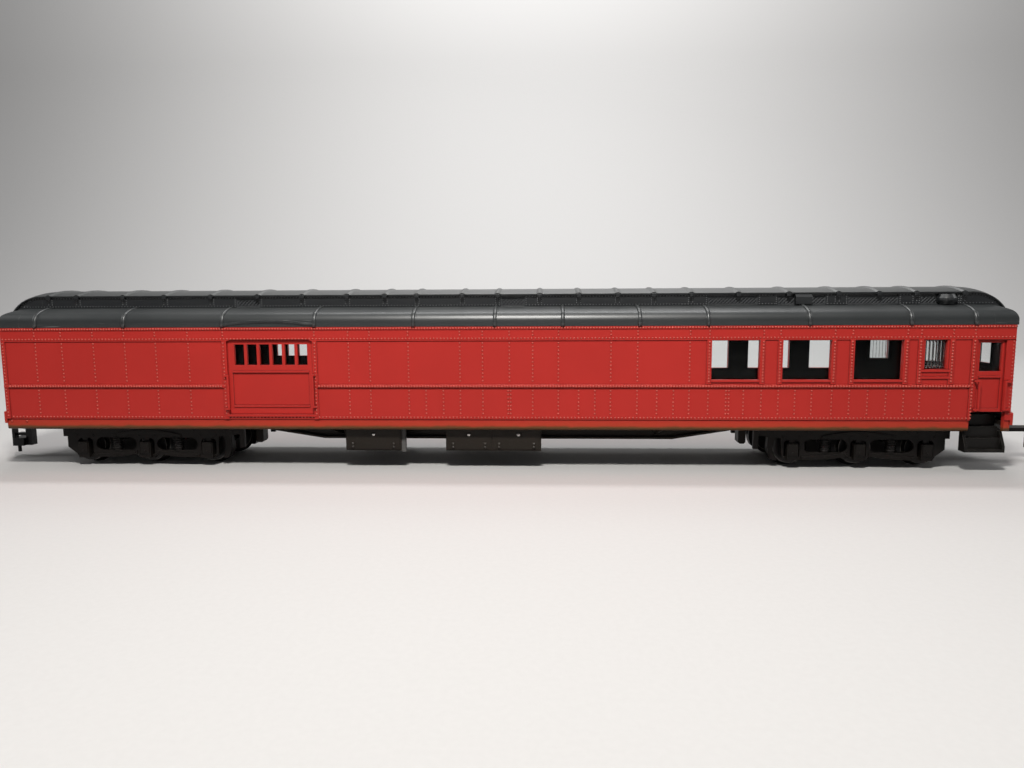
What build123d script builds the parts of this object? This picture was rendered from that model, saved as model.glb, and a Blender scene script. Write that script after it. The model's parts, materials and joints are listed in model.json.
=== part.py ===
# HO scale (1:87) model of a riveted heavyweight combine car on two six-wheel trucks.
# The baggage room is at the -X end, the windows and the open-stepped vestibule at the +X end.
# Millimetres. +X runs along the car to the vestibule end, +Y to the far side, +Z up.
# Z = 0 is the lowest point of the wheel flanges, and X = Y = 0 is the middle of the car.
from build123d import *
import math
import os

os.makedirs("parts", exist_ok=True)

# Car body
BODY_L = 280.8
BODY_W = 35.2
WALL = 1.5
SKIRT_Z = 11.6
SILL_TOP_Z = 14.7
EAVE_Z = 40.7
HALF_L = BODY_L / 2
HALF_W = BODY_W / 2
INNER_Y = HALF_W - WALL

# Bowed ends: both ends are one arc in plan, END_BOW deep at the middle
END_BOW = 3.8
BOW_R = (HALF_W ** 2 + END_BOW ** 2) / (2 * END_BOW)
BOW_X = HALF_L + END_BOW - BOW_R

# Raised work on the side
SKIRT_BACK = 0.25
SKIRT_TURN = 0.75
BOARD_Z = 36.75
BOARD_PROUD = 0.2
EAVE_STRIP_H = 0.9
EAVE_STRIP_PROUD = 0.3
BELT_Z = 23.5
BELT_H = 1.1
BELT_PROUD = 0.35
BELT_EDGE = 0.18
POST_W = 1.3
POST_PROUD = 0.2
LEDGE_H = 0.6
LEDGE_PROUD = 0.3

# Saloon windows, counted back from the vestibule end
WINDOW_INSET = 35.8
WINDOW_PITCH = 19.15
WINDOW_COUNT = 3
WINDOW_W = 13.0
WINDOW_H = 10.8
WINDOW_Z = 25.8
WINDOWS_X = [HALF_L - WINDOW_INSET - i * WINDOW_PITCH for i in range(WINDOW_COUNT)]

# Lavatory window
LAV_X = HALF_L - 20.72
LAV_W = 5.85
LAV_Z = 28.65
LAV_H = 8.0
LAV_POST_GAP = 1.25

# Baggage door, with six panes
BAG_DOOR_X = -HALF_L + 77.5
BAG_DOOR_W = 24.4
BAG_DOOR_Z = 16.0
BAG_DOOR_TOP = 36.65
BAG_ARCH_RISE = 0.57
BAG_DOOR_BACK = 0.45
PANE_COUNT = 6
PANE_W = 2.78
PANE_PITCH = 3.6
PANE_Z = 30.0
PANE_H = 5.83
BAG_PANEL_Z = 18.3
BAG_PANEL_TOP = 28.13
BAG_PANEL_EDGE = 1.3
PANEL_BACK = 0.2
MOULD_H = 0.5

# Vestibule door over the step well
VEST_DOOR_X = HALF_L - 5.95
VEST_DOOR_W = 7.42
VEST_DOOR_Z = 17.0
VEST_DOOR_TOP = 36.5
VEST_DOOR_BACK = 0.6
VEST_WIN_W = 5.75
VEST_WIN_Z = 28.05
VEST_WIN_H = 7.77
VEST_RAIL_Z = 26.6
VEST_PANEL_Z = 17.9
VEST_POST_X = HALF_L - 10.8
WELL_X0 = HALF_L - 10.8
WELL_X1 = HALF_L - 1.5

# Hand rails on both sides. Columns: X of the bar, X of its feet, bottom Z, top Z
RAIL_T = 0.5
RAIL_OFF = 0.4
HAND_RAILS = [
    (BAG_DOOR_X - 12.0, BAG_DOOR_X - 12.6, 17.4, 27.3),
    (BAG_DOOR_X + 12.2, BAG_DOOR_X + 12.7, 18.0, 27.5),
    (VEST_DOOR_X - 3.1, VEST_DOOR_X - 4.2, 17.5, 25.7),
    (VEST_DOOR_X + 3.8, VEST_DOOR_X + 4.85, 17.5, 25.6),
]

# Ends
END_DOOR_W = 8.6
END_DOOR_Z = 15.3
END_DOOR_TOP = 37.6
END_DOOR_T = 1.1
END_WIN_W = 7.2
END_WIN_Z = 29.0
END_WIN_H = 6.8
END_DOOR_X = HALF_L + END_BOW - 0.6
DIAPHRAGM_W = 12.6
DIAPHRAGM_TOP = 39.6
DIAPHRAGM_WALL = 1.3
DIAPHRAGM_X = HALF_L + 4.7
DIAPHRAGM_CORNER = 2.2
FOLD = 0.4
END_SILL_Z = 13.4
END_SILL_H = 3.3
END_SILL_OUT = 0.7

# Floor
FLOOR_Z = 13.2
FLOOR_T = 1.2
SEAT_GAP = 0.3

# Roof. The lower deck stands upright from the eave, turns a corner and levels out at the clerestory
ROOF_T = 1.2
EAVE_OUT = 0.35
DECK_HALF = HALF_W + EAVE_OUT
EAVE_LIP = 1.6
EAVE_RISE = 1.2
DECK_CORNER_R = 3.0
DECK_TURN = math.radians(65)
CLER_HALF = 10.0
CLER_WALL = 1.0
DECK_CORNER = (DECK_HALF - DECK_CORNER_R, EAVE_Z + EAVE_RISE)
DECK_KNEE = (DECK_CORNER[0] + DECK_CORNER_R * math.cos(DECK_TURN),
             DECK_CORNER[1] + DECK_CORNER_R * math.sin(DECK_TURN))
DECK_TOP_R = (DECK_KNEE[0] - CLER_HALF) / math.cos(DECK_TURN)
CLER_BASE_Z = DECK_KNEE[1] + DECK_TOP_R * (1 - math.sin(DECK_TURN))
CLER_TOP_Z = 49.2
UPPER_HALF = 10.7
UPPER_EDGE_T = 0.35
UPPER_EDGE_Z = CLER_TOP_Z + UPPER_EDGE_T
CROWN_Z = 51.0
ROOF_END_X = HALF_L - 6.0

# Hood: the upper deck turned down over each end of the clerestory. Its radius is the crown's
HOOD_START = HALF_L - 7.9
HOOD_R = 12.15
HOOD_TURN = 62.0

# Roof ribs: narrow beads on the lower deck, and on the upper deck broad swells
DECK_RIB_W = 0.5
DECK_RIB_PROUD = 0.25
UPPER_RIB_W = 2.6
UPPER_RIB_CREST = 0.5
UPPER_RIB_PROUD = 0.32
BRACKET_W = 1.1
BRACKET_OUT = 0.35
BRACKET_H = 0.9
# Rib places: insets from the baggage end, X near the middle, insets from the vestibule end
DECK_RIBS = ([10.7, 36.3, 64.5, 90.6], [-22.1, 0.5, 19.2, 40.2], [81.7, 54.6, 27.8, 10.9])
UPPER_RIBS = ([10.3, 18.7, 32.5, 44.7, 58.4, 72.1, 85.1, 98.1],
              [-31.4, -22.2, -9.2, 0.9, 12.8, 23.8, 34.8],
              [95.5, 85.1, 72.1, 58.2, 44.6, 33.5, 23.4, 10.4])

# Drip moulding on the deck over the baggage door: ends and crown
DRIP_HALF = 13.4
DRIP_Z = 41.0
DRIP_RISE = 1.15
DRIP_H = 0.5
DRIP_PROUD = 0.4

# Clerestory screens. Columns: middle X, width
VENT_Z = CLER_BASE_Z + 0.1
VENT_H = 2.8
VENT_BACK = 0.5
SCREEN_H = 2.3
SCREEN_T = 0.3
SCREEN_PITCH = 1.7
SCREEN_BAR = 0.3
SCREEN_RIM = 0.25
SCREENS = [
    (-HALF_L + 69.15, 6.9),
    (5.15, 6.7),
    (HALF_L - 73.4, 13.8),
    (HALF_L - 54.35, 13.1),
    (HALF_L - 34.75, 13.7),
    (HALF_L - 16.9, 9.8),
]

# Roof vents on the lower deck beside the clerestory
BOX_VENT_X = HALF_L - 54.2
BOX_VENT_W = 4.4
BOX_VENT_D = 1.6
BOX_VENT_Z = CLER_BASE_Z + 0.3
BOX_VENT_H = 2.7
ROUND_VENT_X = HALF_L - 15.15
ROUND_VENT_R = 2.65
ROUND_VENT_Z = CLER_BASE_Z + 0.1
ROUND_VENT_H = 2.8
ROUND_VENT_OUT = 0.6

# Wheels and axles
TREAD_R = 4.5
FLANGE_DEPTH = 1.0
FLANGE_WIDTH = 0.8
WHEEL_WIDTH = 2.9
WHEEL_BACK = 7.25
AXLE_R = 1.0
STUB_R = 0.75
AXLE_Z = TREAD_R + FLANGE_DEPTH
AXLE_SPACING = 18.5
TRUCK_X = HALF_L - 37.9
AXLES = [("inner", -AXLE_SPACING), ("middle", 0.0), ("outer", AXLE_SPACING)]

# Truck side frame, cast as one plate. u runs from the truck's middle towards the end of the car
FRAME_IN = 11.5
FRAME_OUT = 12.7
FRAME_TOP = 11.1
FRAME_FOOT = 2.3
FRAME_END = 23.8
PLATE_END = 25.0
PLATE_LOW = 8.6
TAIL_END = 29.2
TAIL_LOW = 9.4
BAND_TOP = 4.5
BAND_MID_Z = 2.6
BAND_RISE_Z = 3.4
BAND_PROUD = 0.3
OVAL_X = 9.15
OVAL_W = 12.2
OVAL_H = 3.8
ARCH_W = 4.4
ARCH_TOP = 8.1
PEDESTAL_W = 5.5
BOX_W = 3.1
BOX_LOW = 2.5
BOX_TOP = 7.2
BOX_OUT = 14.0
LID_T = 0.3
SPRING_HALF = 10.4
SPRING_END_Z = 9.2
SPRING_MID_Z = 10.4
SPRING_T = 0.75
SPRING_PROUD = 0.35
COIL_R = 1.2
SHOE_GAP = 0.35
SHOE_T = 1.3

# Bolster
TRANSOM_W = 4.0
TRANSOM_LOW = 7.4
TRANSOM_TOP = 10.0
CENTRE_PLATE_W = 11.0
PLATE_TOP = 12.4
PIN_R = 1.5
PIN_HEAD_R = 2.6
PIN_HEAD_Z = 8.7
PIN_HEAD_H = 1.0
BOSS_R = 4.0
RUN_GAP = 0.06

# Coupler tongues and couplers. The tongue at the vestibule end is the longer one
TONGUE_Z = 8.8
TONGUE_T = 1.1
TONGUE_HALF = 2.2
COUPLER_REACH = {"baggage": 6.2, "vestibule": 17.2}
COUPLER_PIN_R = 0.5
COUPLER_PIN_Z = 4.0
COUPLER_BACK = 0.9
COUPLER_BLOCK = 1.8
BLOCK_HALF = 1.2
COUPLER_LOW = 3.5
COUPLER_TOP = TONGUE_Z - 0.1
HEAD_FRONT = 4.4
HEAD_HALF = 2.4
HEAD_H = 2.4
ARM_Z = 6.6
ARM_H = 0.8
FACE_T = 0.8
HOOK_TOP = 9.0
HORN_OUT = 0.6
TRIP_R = 0.5
TRIP_Z = 1.4

# Fishbelly centre sill, tied to the trucks
WEB_HALF = 2.6
FLANGE_HALF = 4.2
FLANGE_T = 0.6
BELLY_Z = 6.6
BELLY_END_Z = 9.2
BELLY_HALF = TRUCK_X - 50.5
BELLY_END = TRUCK_X - 33.9
BEARER_X = TRUCK_X - 55.5
BEARER_T = 0.8
BEARER_Z = 8.0
HANGER_X = TRUCK_X - 29.5
HANGER_W = 2.2
HANGER_HALF = 1.9
HANGER_Z = 4.8

# Battery boxes and the lids on their fronts. Columns: left X, right X
BOX_Z = 5.2
BOX_Y = HALF_W - 2.6
BOX_DEPTH = 7.5
BATTERY_BOXES = [(-42.7, -26.7), (-13.9, 13.25)]
LIDS = [(-42.3, -27.1), (-13.5, -1.0), (-0.4, 12.85)]
LID_PROUD = 0.25
LID_EDGE = 0.5
CLIP_LIFT = 0.9
CLIP_PROUD = 0.25
CLIP_INSET = 1.7
CLIP_W = 0.9
CLIP_H = 1.5
DRAIN_W = 1.2

# Vestibule steps: front edge and top of each tread below the door, from the top one down
STEP_BACK = HALF_W - 5.4
STEP_T = 0.7
STEP_TREADS = [(HALF_W - 4.2, 15.7), (HALF_W - 2.8, 12.6), (HALF_W - 1.4, 9.5), (HALF_W, 6.5)]
CHEEK_T = 0.7
CHEEK_FOOT = 5.8
CHEEK_FRONT_Z = 7.5
CHEEK_DEPTH = 3.1
CHEEK_SET_BACK = 1.9

# Glass
GLASS_T = 0.7
GLASS_LAP = 0.9

# Small allowances. SUNK is how far an added strip reaches into what carries it
SUNK = 0.1
SKIRT_TURN_SAG = 0.22
LAV_SILL_DROP = 0.1
LAV_LOW_LEDGE = 3.2
BAG_SILL_LEFT = 0.5
BAG_SILL_RIGHT = 0.9
PANES_X = BAG_DOOR_X + 0.2
BRACKET_DROP = 0.1
BOX_VENT_CHAMFER = 0.7
BEARER_TIP_DROP = 0.4
HANGER_CHAMFER = 0.5
DRAIN_DROP = 0.4
DRAIN_SET_BACK = 0.4
CHEEK_GAP = 0.2

# The round vent's section, as shares of its radius and height
ROUND_VENT_FOOT = 0.65
ROUND_VENT_CROWN = 0.7
ROUND_VENT_RIM = (0.4, 0.6)

# Small steps and tapers of the truck's castings
STUB_BACK = 0.9
PEDESTAL_TAPER = 0.8
PEDESTAL_RISE = 1.2
BAND_RUN = 1.2
TAIL_STEP = 0.4
TAIL_STEP_H = 0.8
TAIL_LIP = 1.4
LID_INSET = 0.3
LID_LIFT = 1.3
LID_DROP = 0.1
COIL_INSET = 0.3
SHOE_SIDE_GAP = 0.3
SHOE_REACH = 3.4
SHOE_END = 0.5
SHOE_HANGER = (-0.3, 0.9)
SHOE_HANGER_IN = 1.6
SHOE_HANGER_SUNK = 0.2
SHOE_HANGER_RISE = 1.0
ARCH_LIFT = 0.8
ARCH_FILLET = 1.2
BORE_BACK = 0.7
BAND_IN_U = 2.9
BAND_OUT_U = 15.7
BAND_OUT_LOW = FRAME_FOOT + 0.2
BAND_OUT_TOP = FRAME_FOOT + 1.2
BAND_MID_TOP = BAND_MID_Z + 1.1
SPRING_LIFT = 0.2
COIL_ROOM = 0.6
COIL_NOTCH = 1.0
COIL_TOP_ROOM = 0.3


def block(x0, x1, y0, y1, z0, z1):
    return Pos((x0 + x1) / 2, (y0 + y1) / 2, (z0 + z1) / 2) * Box(x1 - x0, y1 - y0, z1 - z0)


def drum(radius, x, y, z0, z1):
    return Pos(x, y, (z0 + z1) / 2) * Cylinder(radius, z1 - z0)


def cross_drum(radius, x, z, y0, y1):
    return Pos(x, (y0 + y1) / 2, z) * Rot(90, 0, 0) * Cylinder(radius, y1 - y0)


def extrude_y(face, y0, y1):
    return Pos(0, y0, 0) * extrude(face, amount=y1 - y0, dir=(0, 1, 0))


def extrude_x(face, x0, x1):
    return Pos(x0, 0, 0) * extrude(face, amount=x1 - x0, dir=(1, 0, 0))


def xz_face(points):
    return make_face(Polyline([(x, 0, z) for x, z in points], close=True))


def yz_face(points):
    return make_face(Polyline([(0, y, z) for y, z in points], close=True))


def mirror_y(shape):
    return mirror(shape, about=Plane.XZ)


def mirror_x(shape):
    return mirror(shape, about=Plane.YZ)


def save(name, *solids):
    shape = solids[0] if len(solids) == 1 else Compound(children=list(solids))
    export_step(shape, "parts/" + name + ".step")


def rib_places(table):
    baggage_insets, middle, vestibule_insets = table
    return [-HALF_L + i for i in baggage_insets] + middle + [HALF_L - i for i in vestibule_insets]


# Bowed ends


def bow(grow, z0, z1):
    return drum(BOW_R + grow, BOW_X, 0, z0, z1)


def trim_ends(shape):
    # Cuts both ends of a long piece to the bow.
    reach = HALF_L + 3 * END_BOW
    beyond = block(HALF_L - END_BOW, reach, -BODY_W, BODY_W, SKIRT_Z - 1, CROWN_Z + 1)
    waste = beyond - bow(0, SKIRT_Z - 2, CROWN_Z + 2)
    return shape - waste - mirror_x(waste)


# Car sides


def side_profile():
    skirt_y = HALF_W - SKIRT_BACK
    turn_z = SKIRT_Z + SKIRT_TURN
    sag = SKIRT_TURN_SAG
    turn = ThreePointArc((0, skirt_y - SKIRT_TURN, SKIRT_Z), (0, skirt_y - sag, SKIRT_Z + sag), (0, skirt_y, turn_z))
    strip_z = EAVE_Z - EAVE_STRIP_H
    outline = Polyline([(0, y, z) for y, z in [
        (skirt_y, turn_z),
        (skirt_y, SILL_TOP_Z),
        (HALF_W, SILL_TOP_Z),
        (HALF_W, BOARD_Z),
        (HALF_W + BOARD_PROUD, BOARD_Z),
        (HALF_W + BOARD_PROUD, strip_z),
        (HALF_W + EAVE_STRIP_PROUD, strip_z),
        (HALF_W + EAVE_STRIP_PROUD, EAVE_Z),
        (INNER_Y, EAVE_Z),
        (INNER_Y, SKIRT_Z),
        (skirt_y - SKIRT_TURN, SKIRT_Z),
    ]])
    return make_face([turn, outline])


def belt_profile():
    return yz_face([
        (HALF_W - SUNK, BELT_Z),
        (HALF_W + BELT_PROUD, BELT_Z + BELT_EDGE),
        (HALF_W + BELT_PROUD, BELT_Z + BELT_H - BELT_EDGE),
        (HALF_W - SUNK, BELT_Z + BELT_H),
    ])


def post(x, width, z0, z1):
    return block(x - width / 2, x + width / 2, HALF_W - SUNK, HALF_W + POST_PROUD, z0, z1)


def ledge(x0, x1, z_top, height):
    return block(x0, x1, HALF_W - SUNK, HALF_W + LEDGE_PROUD, z_top - height, z_top)


def baggage_opening(y0, y1):
    half = BAG_DOOR_W / 2
    arch = BAG_DOOR_TOP + BAG_ARCH_RISE
    return extrude_y(xz_face([
        (BAG_DOOR_X - half, BAG_DOOR_Z),
        (BAG_DOOR_X - half, BAG_DOOR_TOP),
        (BAG_DOOR_X - half + 2 * BAG_ARCH_RISE, arch),
        (BAG_DOOR_X + half - 2 * BAG_ARCH_RISE, arch),
        (BAG_DOOR_X + half, BAG_DOOR_TOP),
        (BAG_DOOR_X + half, BAG_DOOR_Z),
    ]), y0, y1)


def side_wall():
    wall = extrude_x(side_profile(), -HALF_L - END_BOW, HALF_L + END_BOW)
    jamb = BAG_DOOR_W / 2 + POST_W / 2
    for x0, x1 in ((-HALF_L, BAG_DOOR_X - jamb), (BAG_DOOR_X + jamb, VEST_POST_X)):
        wall += extrude_x(belt_profile(), x0, x1)
    belt_top = BELT_Z + BELT_H
    for x in (BAG_DOOR_X - jamb, BAG_DOOR_X + jamb, VEST_POST_X, -HALF_L + POST_W / 2):
        wall += post(x, POST_W, SILL_TOP_Z, BOARD_Z)
    for x in WINDOWS_X:
        edge = WINDOW_W / 2 + POST_W / 2
        wall += post(x - edge, POST_W, belt_top, BOARD_Z)
        wall += post(x + edge, POST_W, belt_top, BOARD_Z)
        wall += ledge(x - WINDOW_W / 2, x + WINDOW_W / 2, WINDOW_Z, LEDGE_H)
    edge = LAV_W / 2 + LAV_POST_GAP
    wall += post(LAV_X - edge, POST_W, belt_top, BOARD_Z)
    wall += post(LAV_X + edge, POST_W, belt_top, BOARD_Z)
    for z_top in (LAV_Z - LAV_SILL_DROP, BELT_Z + LAV_LOW_LEDGE):
        wall += ledge(LAV_X - edge, LAV_X + edge, z_top, LEDGE_H)
    half = BAG_DOOR_W / 2
    wall += ledge(BAG_DOOR_X - half - BAG_SILL_LEFT, BAG_DOOR_X + half + BAG_SILL_RIGHT, BAG_DOOR_Z, LEDGE_H)
    y0 = INNER_Y - 1
    y1 = HALF_W + 2
    for x in WINDOWS_X:
        wall -= block(x - WINDOW_W / 2, x + WINDOW_W / 2, y0, y1, WINDOW_Z, WINDOW_Z + WINDOW_H)
    wall -= block(LAV_X - LAV_W / 2, LAV_X + LAV_W / 2, y0, y1, LAV_Z, LAV_Z + LAV_H)
    wall -= baggage_opening(y0, y1)
    half = VEST_DOOR_W / 2
    wall -= block(VEST_DOOR_X - half, VEST_DOOR_X + half, y0, y1, VEST_DOOR_Z, VEST_DOOR_TOP)
    wall -= block(WELL_X0, WELL_X1, y0, y1, SKIRT_Z - 1, VEST_DOOR_Z)
    return trim_ends(wall)


def baggage_door():
    face_y = HALF_W - BAG_DOOR_BACK
    door = baggage_opening(INNER_Y, face_y)
    panel_half = BAG_DOOR_W / 2 - BAG_PANEL_EDGE
    door -= block(BAG_DOOR_X - panel_half, BAG_DOOR_X + panel_half, face_y - PANEL_BACK, face_y + 1,
                  BAG_PANEL_Z, BAG_PANEL_TOP)
    for z in (BAG_PANEL_Z, BAG_PANEL_TOP):
        door += block(BAG_DOOR_X - panel_half, BAG_DOOR_X + panel_half, face_y - PANEL_BACK, face_y + PANEL_BACK,
                      z - MOULD_H / 2, z + MOULD_H / 2)
    first = PANES_X - PANE_PITCH * (PANE_COUNT - 1) / 2
    for i in range(PANE_COUNT):
        cx = first + i * PANE_PITCH
        door -= block(cx - PANE_W / 2, cx + PANE_W / 2, INNER_Y - 1, face_y + 1, PANE_Z, PANE_Z + PANE_H)
    return door


def vestibule_door():
    face_y = HALF_W - VEST_DOOR_BACK
    half = VEST_DOOR_W / 2
    win = VEST_WIN_W / 2
    door = block(VEST_DOOR_X - half, VEST_DOOR_X + half, INNER_Y, face_y, VEST_DOOR_Z, VEST_DOOR_TOP)
    left, right = VEST_DOOR_X - win, VEST_DOOR_X + win
    door -= block(left, right, INNER_Y - 1, face_y + 1, VEST_WIN_Z, VEST_WIN_Z + VEST_WIN_H)
    door -= block(left, right, face_y - PANEL_BACK, face_y + 1, VEST_PANEL_Z, VEST_RAIL_Z)
    door += block(VEST_DOOR_X - win, VEST_DOOR_X + win, face_y - PANEL_BACK, face_y + PANEL_BACK,
                  VEST_RAIL_Z - MOULD_H / 2, VEST_RAIL_Z + MOULD_H / 2)
    return door


def hand_rails():
    face_y = HALF_W + POST_PROUD
    bar_y = face_y + RAIL_OFF
    rails = []
    for x, foot_x, z0, z1 in HAND_RAILS:
        rail = block(x - RAIL_T / 2, x + RAIL_T / 2, bar_y - RAIL_T / 2, bar_y + RAIL_T / 2, z0, z1)
        foot_half = max(abs(foot_x - x), RAIL_T) / 2 + RAIL_T / 2
        middle = (x + foot_x) / 2
        for z in (z0 + RAIL_T / 2, z1 - RAIL_T / 2):
            rail += block(middle - foot_half, middle + foot_half, face_y, bar_y + RAIL_T / 2,
                          z - RAIL_T / 2, z + RAIL_T / 2)
        rails += [rail, mirror_y(rail)]
    return rails


# Car ends


def end_wall():
    shell = bow(0, SKIRT_Z, EAVE_Z) - bow(-WALL, SKIRT_Z - 1, EAVE_Z + 1)
    wall = shell & block(HALF_L - END_BOW, HALF_L + 2 * END_BOW, -INNER_Y, INNER_Y, SKIRT_Z, EAVE_Z)
    half = END_DOOR_W / 2
    wall -= block(HALF_L, HALF_L + 2 * END_BOW, -half, half, END_DOOR_Z, END_DOOR_TOP)
    return wall


def end_door():
    half = END_DOOR_W / 2
    win = END_WIN_W / 2
    door = block(END_DOOR_X - END_DOOR_T, END_DOOR_X, -half, half, END_DOOR_Z, END_DOOR_TOP)
    door -= block(END_DOOR_X - 3, END_DOOR_X + 1, -win, win, END_WIN_Z, END_WIN_Z + END_WIN_H)
    door -= block(END_DOOR_X - PANEL_BACK, END_DOOR_X + 1, -win, win, VEST_PANEL_Z, VEST_RAIL_Z)
    return door


def diaphragm():
    # A hoop round the doorway, seated on the bowed wall, with a narrower face folded out of it.
    low = END_SILL_Z + END_SILL_H
    hoop = None
    for x1, inset in ((DIAPHRAGM_X - FOLD, 0), (DIAPHRAGM_X, FOLD)):
        half = DIAPHRAGM_W / 2 - inset
        layer = block(HALF_L, x1, -half, half, low, DIAPHRAGM_TOP - inset)
        layer = fillet(layer.edges().filter_by(Axis.X).group_by(Axis.Z)[-1], DIAPHRAGM_CORNER - inset)
        hoop = layer if hoop is None else hoop + layer
    hole = DIAPHRAGM_W / 2 - DIAPHRAGM_WALL
    hoop -= block(HALF_L - 1, DIAPHRAGM_X + 1, -hole, hole, low - 1, DIAPHRAGM_TOP - DIAPHRAGM_WALL)
    return hoop - bow(0, low - 1, DIAPHRAGM_TOP + 1)


def end_sill():
    # Buffer beam across the foot of the end. It stands out from the bowed wall and ends at the sides.
    top = END_SILL_Z + END_SILL_H
    beam = bow(END_SILL_OUT, END_SILL_Z, top) - bow(0, END_SILL_Z - 1, top + 1)
    return beam & block(HALF_L - END_BOW, HALF_L + 3 * END_BOW, -HALF_W, HALF_W, END_SILL_Z, top)


# Roof


def circle_through(p, q, r):
    ax, ay = q[0] - p[0], q[1] - p[1]
    bx, by = r[0] - p[0], r[1] - p[1]
    cross = 2 * (ax * by - ay * bx)
    ux = (by * (ax ** 2 + ay ** 2) - ay * (bx ** 2 + by ** 2)) / cross
    uy = (ax * (bx ** 2 + by ** 2) - bx * (ax ** 2 + ay ** 2)) / cross
    return p[0] + ux, p[1] + uy, math.hypot(ux, uy)


def arc_of(points):
    return ThreePointArc(*[(0, y, z) for y, z in points])


def deck_line(grow, place):
    # The deck's outer line, pushed off itself by grow: upright, corner arc and top arc. place sets its plane.
    def around(centre, radius, angle):
        return place(centre[0] + radius * math.cos(angle), centre[1] + radius * math.sin(angle))

    corner_r = DECK_CORNER_R + grow
    top_r = DECK_TOP_R + grow
    top_centre = (CLER_HALF, CLER_BASE_Z - DECK_TOP_R)
    upright = math.pi / 2
    foot = place(DECK_HALF + grow, EAVE_Z)
    shoulder = around(DECK_CORNER, corner_r, 0)
    knee = around(DECK_CORNER, corner_r, DECK_TURN)
    crest = around(top_centre, top_r, upright)
    curves = [
        Line(foot, shoulder),
        ThreePointArc(shoulder, around(DECK_CORNER, corner_r, DECK_TURN / 2), knee),
        ThreePointArc(knee, around(top_centre, top_r, (DECK_TURN + upright) / 2), crest),
    ]
    return curves, foot, crest


def deck_section(grow):
    curves, foot, crest = deck_line(grow, lambda y, z: (0, y, z))
    under = Polyline([crest, (0, CLER_HALF, CLER_BASE_Z - ROOF_T), (0, DECK_KNEE[0] - ROOF_T, DECK_KNEE[1] - ROOF_T),
                      (0, DECK_HALF - EAVE_LIP, EAVE_Z), foot])
    return make_face(curves + [under])


def lower_deck():
    deck = extrude_x(deck_section(0), -ROOF_END_X, ROOF_END_X)
    for x in rib_places(DECK_RIBS):
        deck += extrude_x(deck_section(DECK_RIB_PROUD), x - DECK_RIB_W / 2, x + DECK_RIB_W / 2)
    drip = []
    for z in (DRIP_Z, DRIP_Z + DRIP_H):
        drip.append([(BAG_DOOR_X - DRIP_HALF, 0, z), (BAG_DOOR_X, 0, z + DRIP_RISE), (BAG_DOOR_X + DRIP_HALF, 0, z)])
    band = make_face([ThreePointArc(*drip[0]), Line(drip[0][2], drip[1][2]), ThreePointArc(*drip[1]),
                      Line(drip[1][0], drip[0][0])])
    reach = DRIP_HALF + 1
    grown = extrude_x(deck_section(DRIP_PROUD), BAG_DOOR_X - reach, BAG_DOOR_X + reach)
    return deck + (grown & extrude_y(band, CLER_HALF, DECK_HALF + 2))


UPPER_ARC = [(UPPER_HALF, UPPER_EDGE_Z), (0, CROWN_Z), (-UPPER_HALF, UPPER_EDGE_Z)]


def upper_rib(x):
    # A swell across the upper deck: its section is turned about the deck's own centre line.
    cy, cz, radius = circle_through(*UPPER_ARC)
    start = math.atan2(UPPER_ARC[0][1] - cz, UPPER_ARC[0][0] - cy)
    stop = math.atan2(UPPER_ARC[2][1] - cz, UPPER_ARC[2][0] - cy)
    root = radius - UPPER_EDGE_T / 2
    crest = radius + UPPER_RIB_PROUD
    corners = [(-UPPER_RIB_W / 2, root), (-UPPER_RIB_CREST / 2, crest), (UPPER_RIB_CREST / 2, crest),
               (UPPER_RIB_W / 2, root)]
    face = make_face(Polyline([(x + dx, cy + math.cos(start) * r, cz + math.sin(start) * r) for dx, r in corners],
                              close=True))
    return revolve(face, Axis((0, cy, cz), (1, 0, 0)), math.degrees(stop - start))


def upper_section():
    edge_low = UPPER_EDGE_Z - UPPER_EDGE_T
    under = [(-UPPER_HALF, edge_low), (0, CROWN_Z - ROOF_T), (UPPER_HALF, edge_low)]
    return make_face([arc_of(UPPER_ARC), Line((0, *UPPER_ARC[2]), (0, *under[0])), arc_of(under),
                      Line((0, *under[2]), (0, *UPPER_ARC[0]))])


def clerestory_roof():
    low = CLER_BASE_Z - ROOF_T
    roof = extrude_x(upper_section(), -HOOD_START, HOOD_START)
    wall = block(-HOOD_START, HOOD_START, CLER_HALF - CLER_WALL, CLER_HALF, low, UPPER_EDGE_Z)
    for x, width in SCREENS:
        wall -= block(x - width / 2, x + width / 2, CLER_HALF - VENT_BACK, CLER_HALF + 1,
                      VENT_Z, VENT_Z + VENT_H)
    roof += wall
    roof += mirror_y(wall)
    for x in rib_places(UPPER_RIBS):
        roof += upper_rib(x)
        bracket = block(x - BRACKET_W / 2, x + BRACKET_W / 2, CLER_HALF - SUNK, UPPER_HALF + BRACKET_OUT,
                        UPPER_EDGE_Z - BRACKET_H, UPPER_EDGE_Z - BRACKET_DROP)
        roof += bracket
        roof += mirror_y(bracket)
    return roof


def hood():
    # The clerestory's own section, filled, turned down through an arc. Its end runs into the deck's.
    hinge_z = CROWN_Z - HOOD_R
    section = make_face([
        arc_of(UPPER_ARC),
        Polyline([(0, y, z) for y, z in [
            UPPER_ARC[2], (-UPPER_HALF, CLER_TOP_Z), (-CLER_HALF, CLER_TOP_Z), (-CLER_HALF, hinge_z + 1),
            (CLER_HALF, hinge_z + 1), (CLER_HALF, CLER_TOP_Z), (UPPER_HALF, CLER_TOP_Z), UPPER_ARC[0],
        ]]),
    ])
    turned = revolve(Pos(HOOD_START, 0, 0) * section, Axis((HOOD_START, 0, hinge_z), (0, 1, 0)), HOOD_TURN)
    low = CLER_BASE_Z - ROOF_T
    return turned - block(HOOD_START - 1, HALF_L + 3 * END_BOW, -BODY_W, BODY_W, 0, low)


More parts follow.
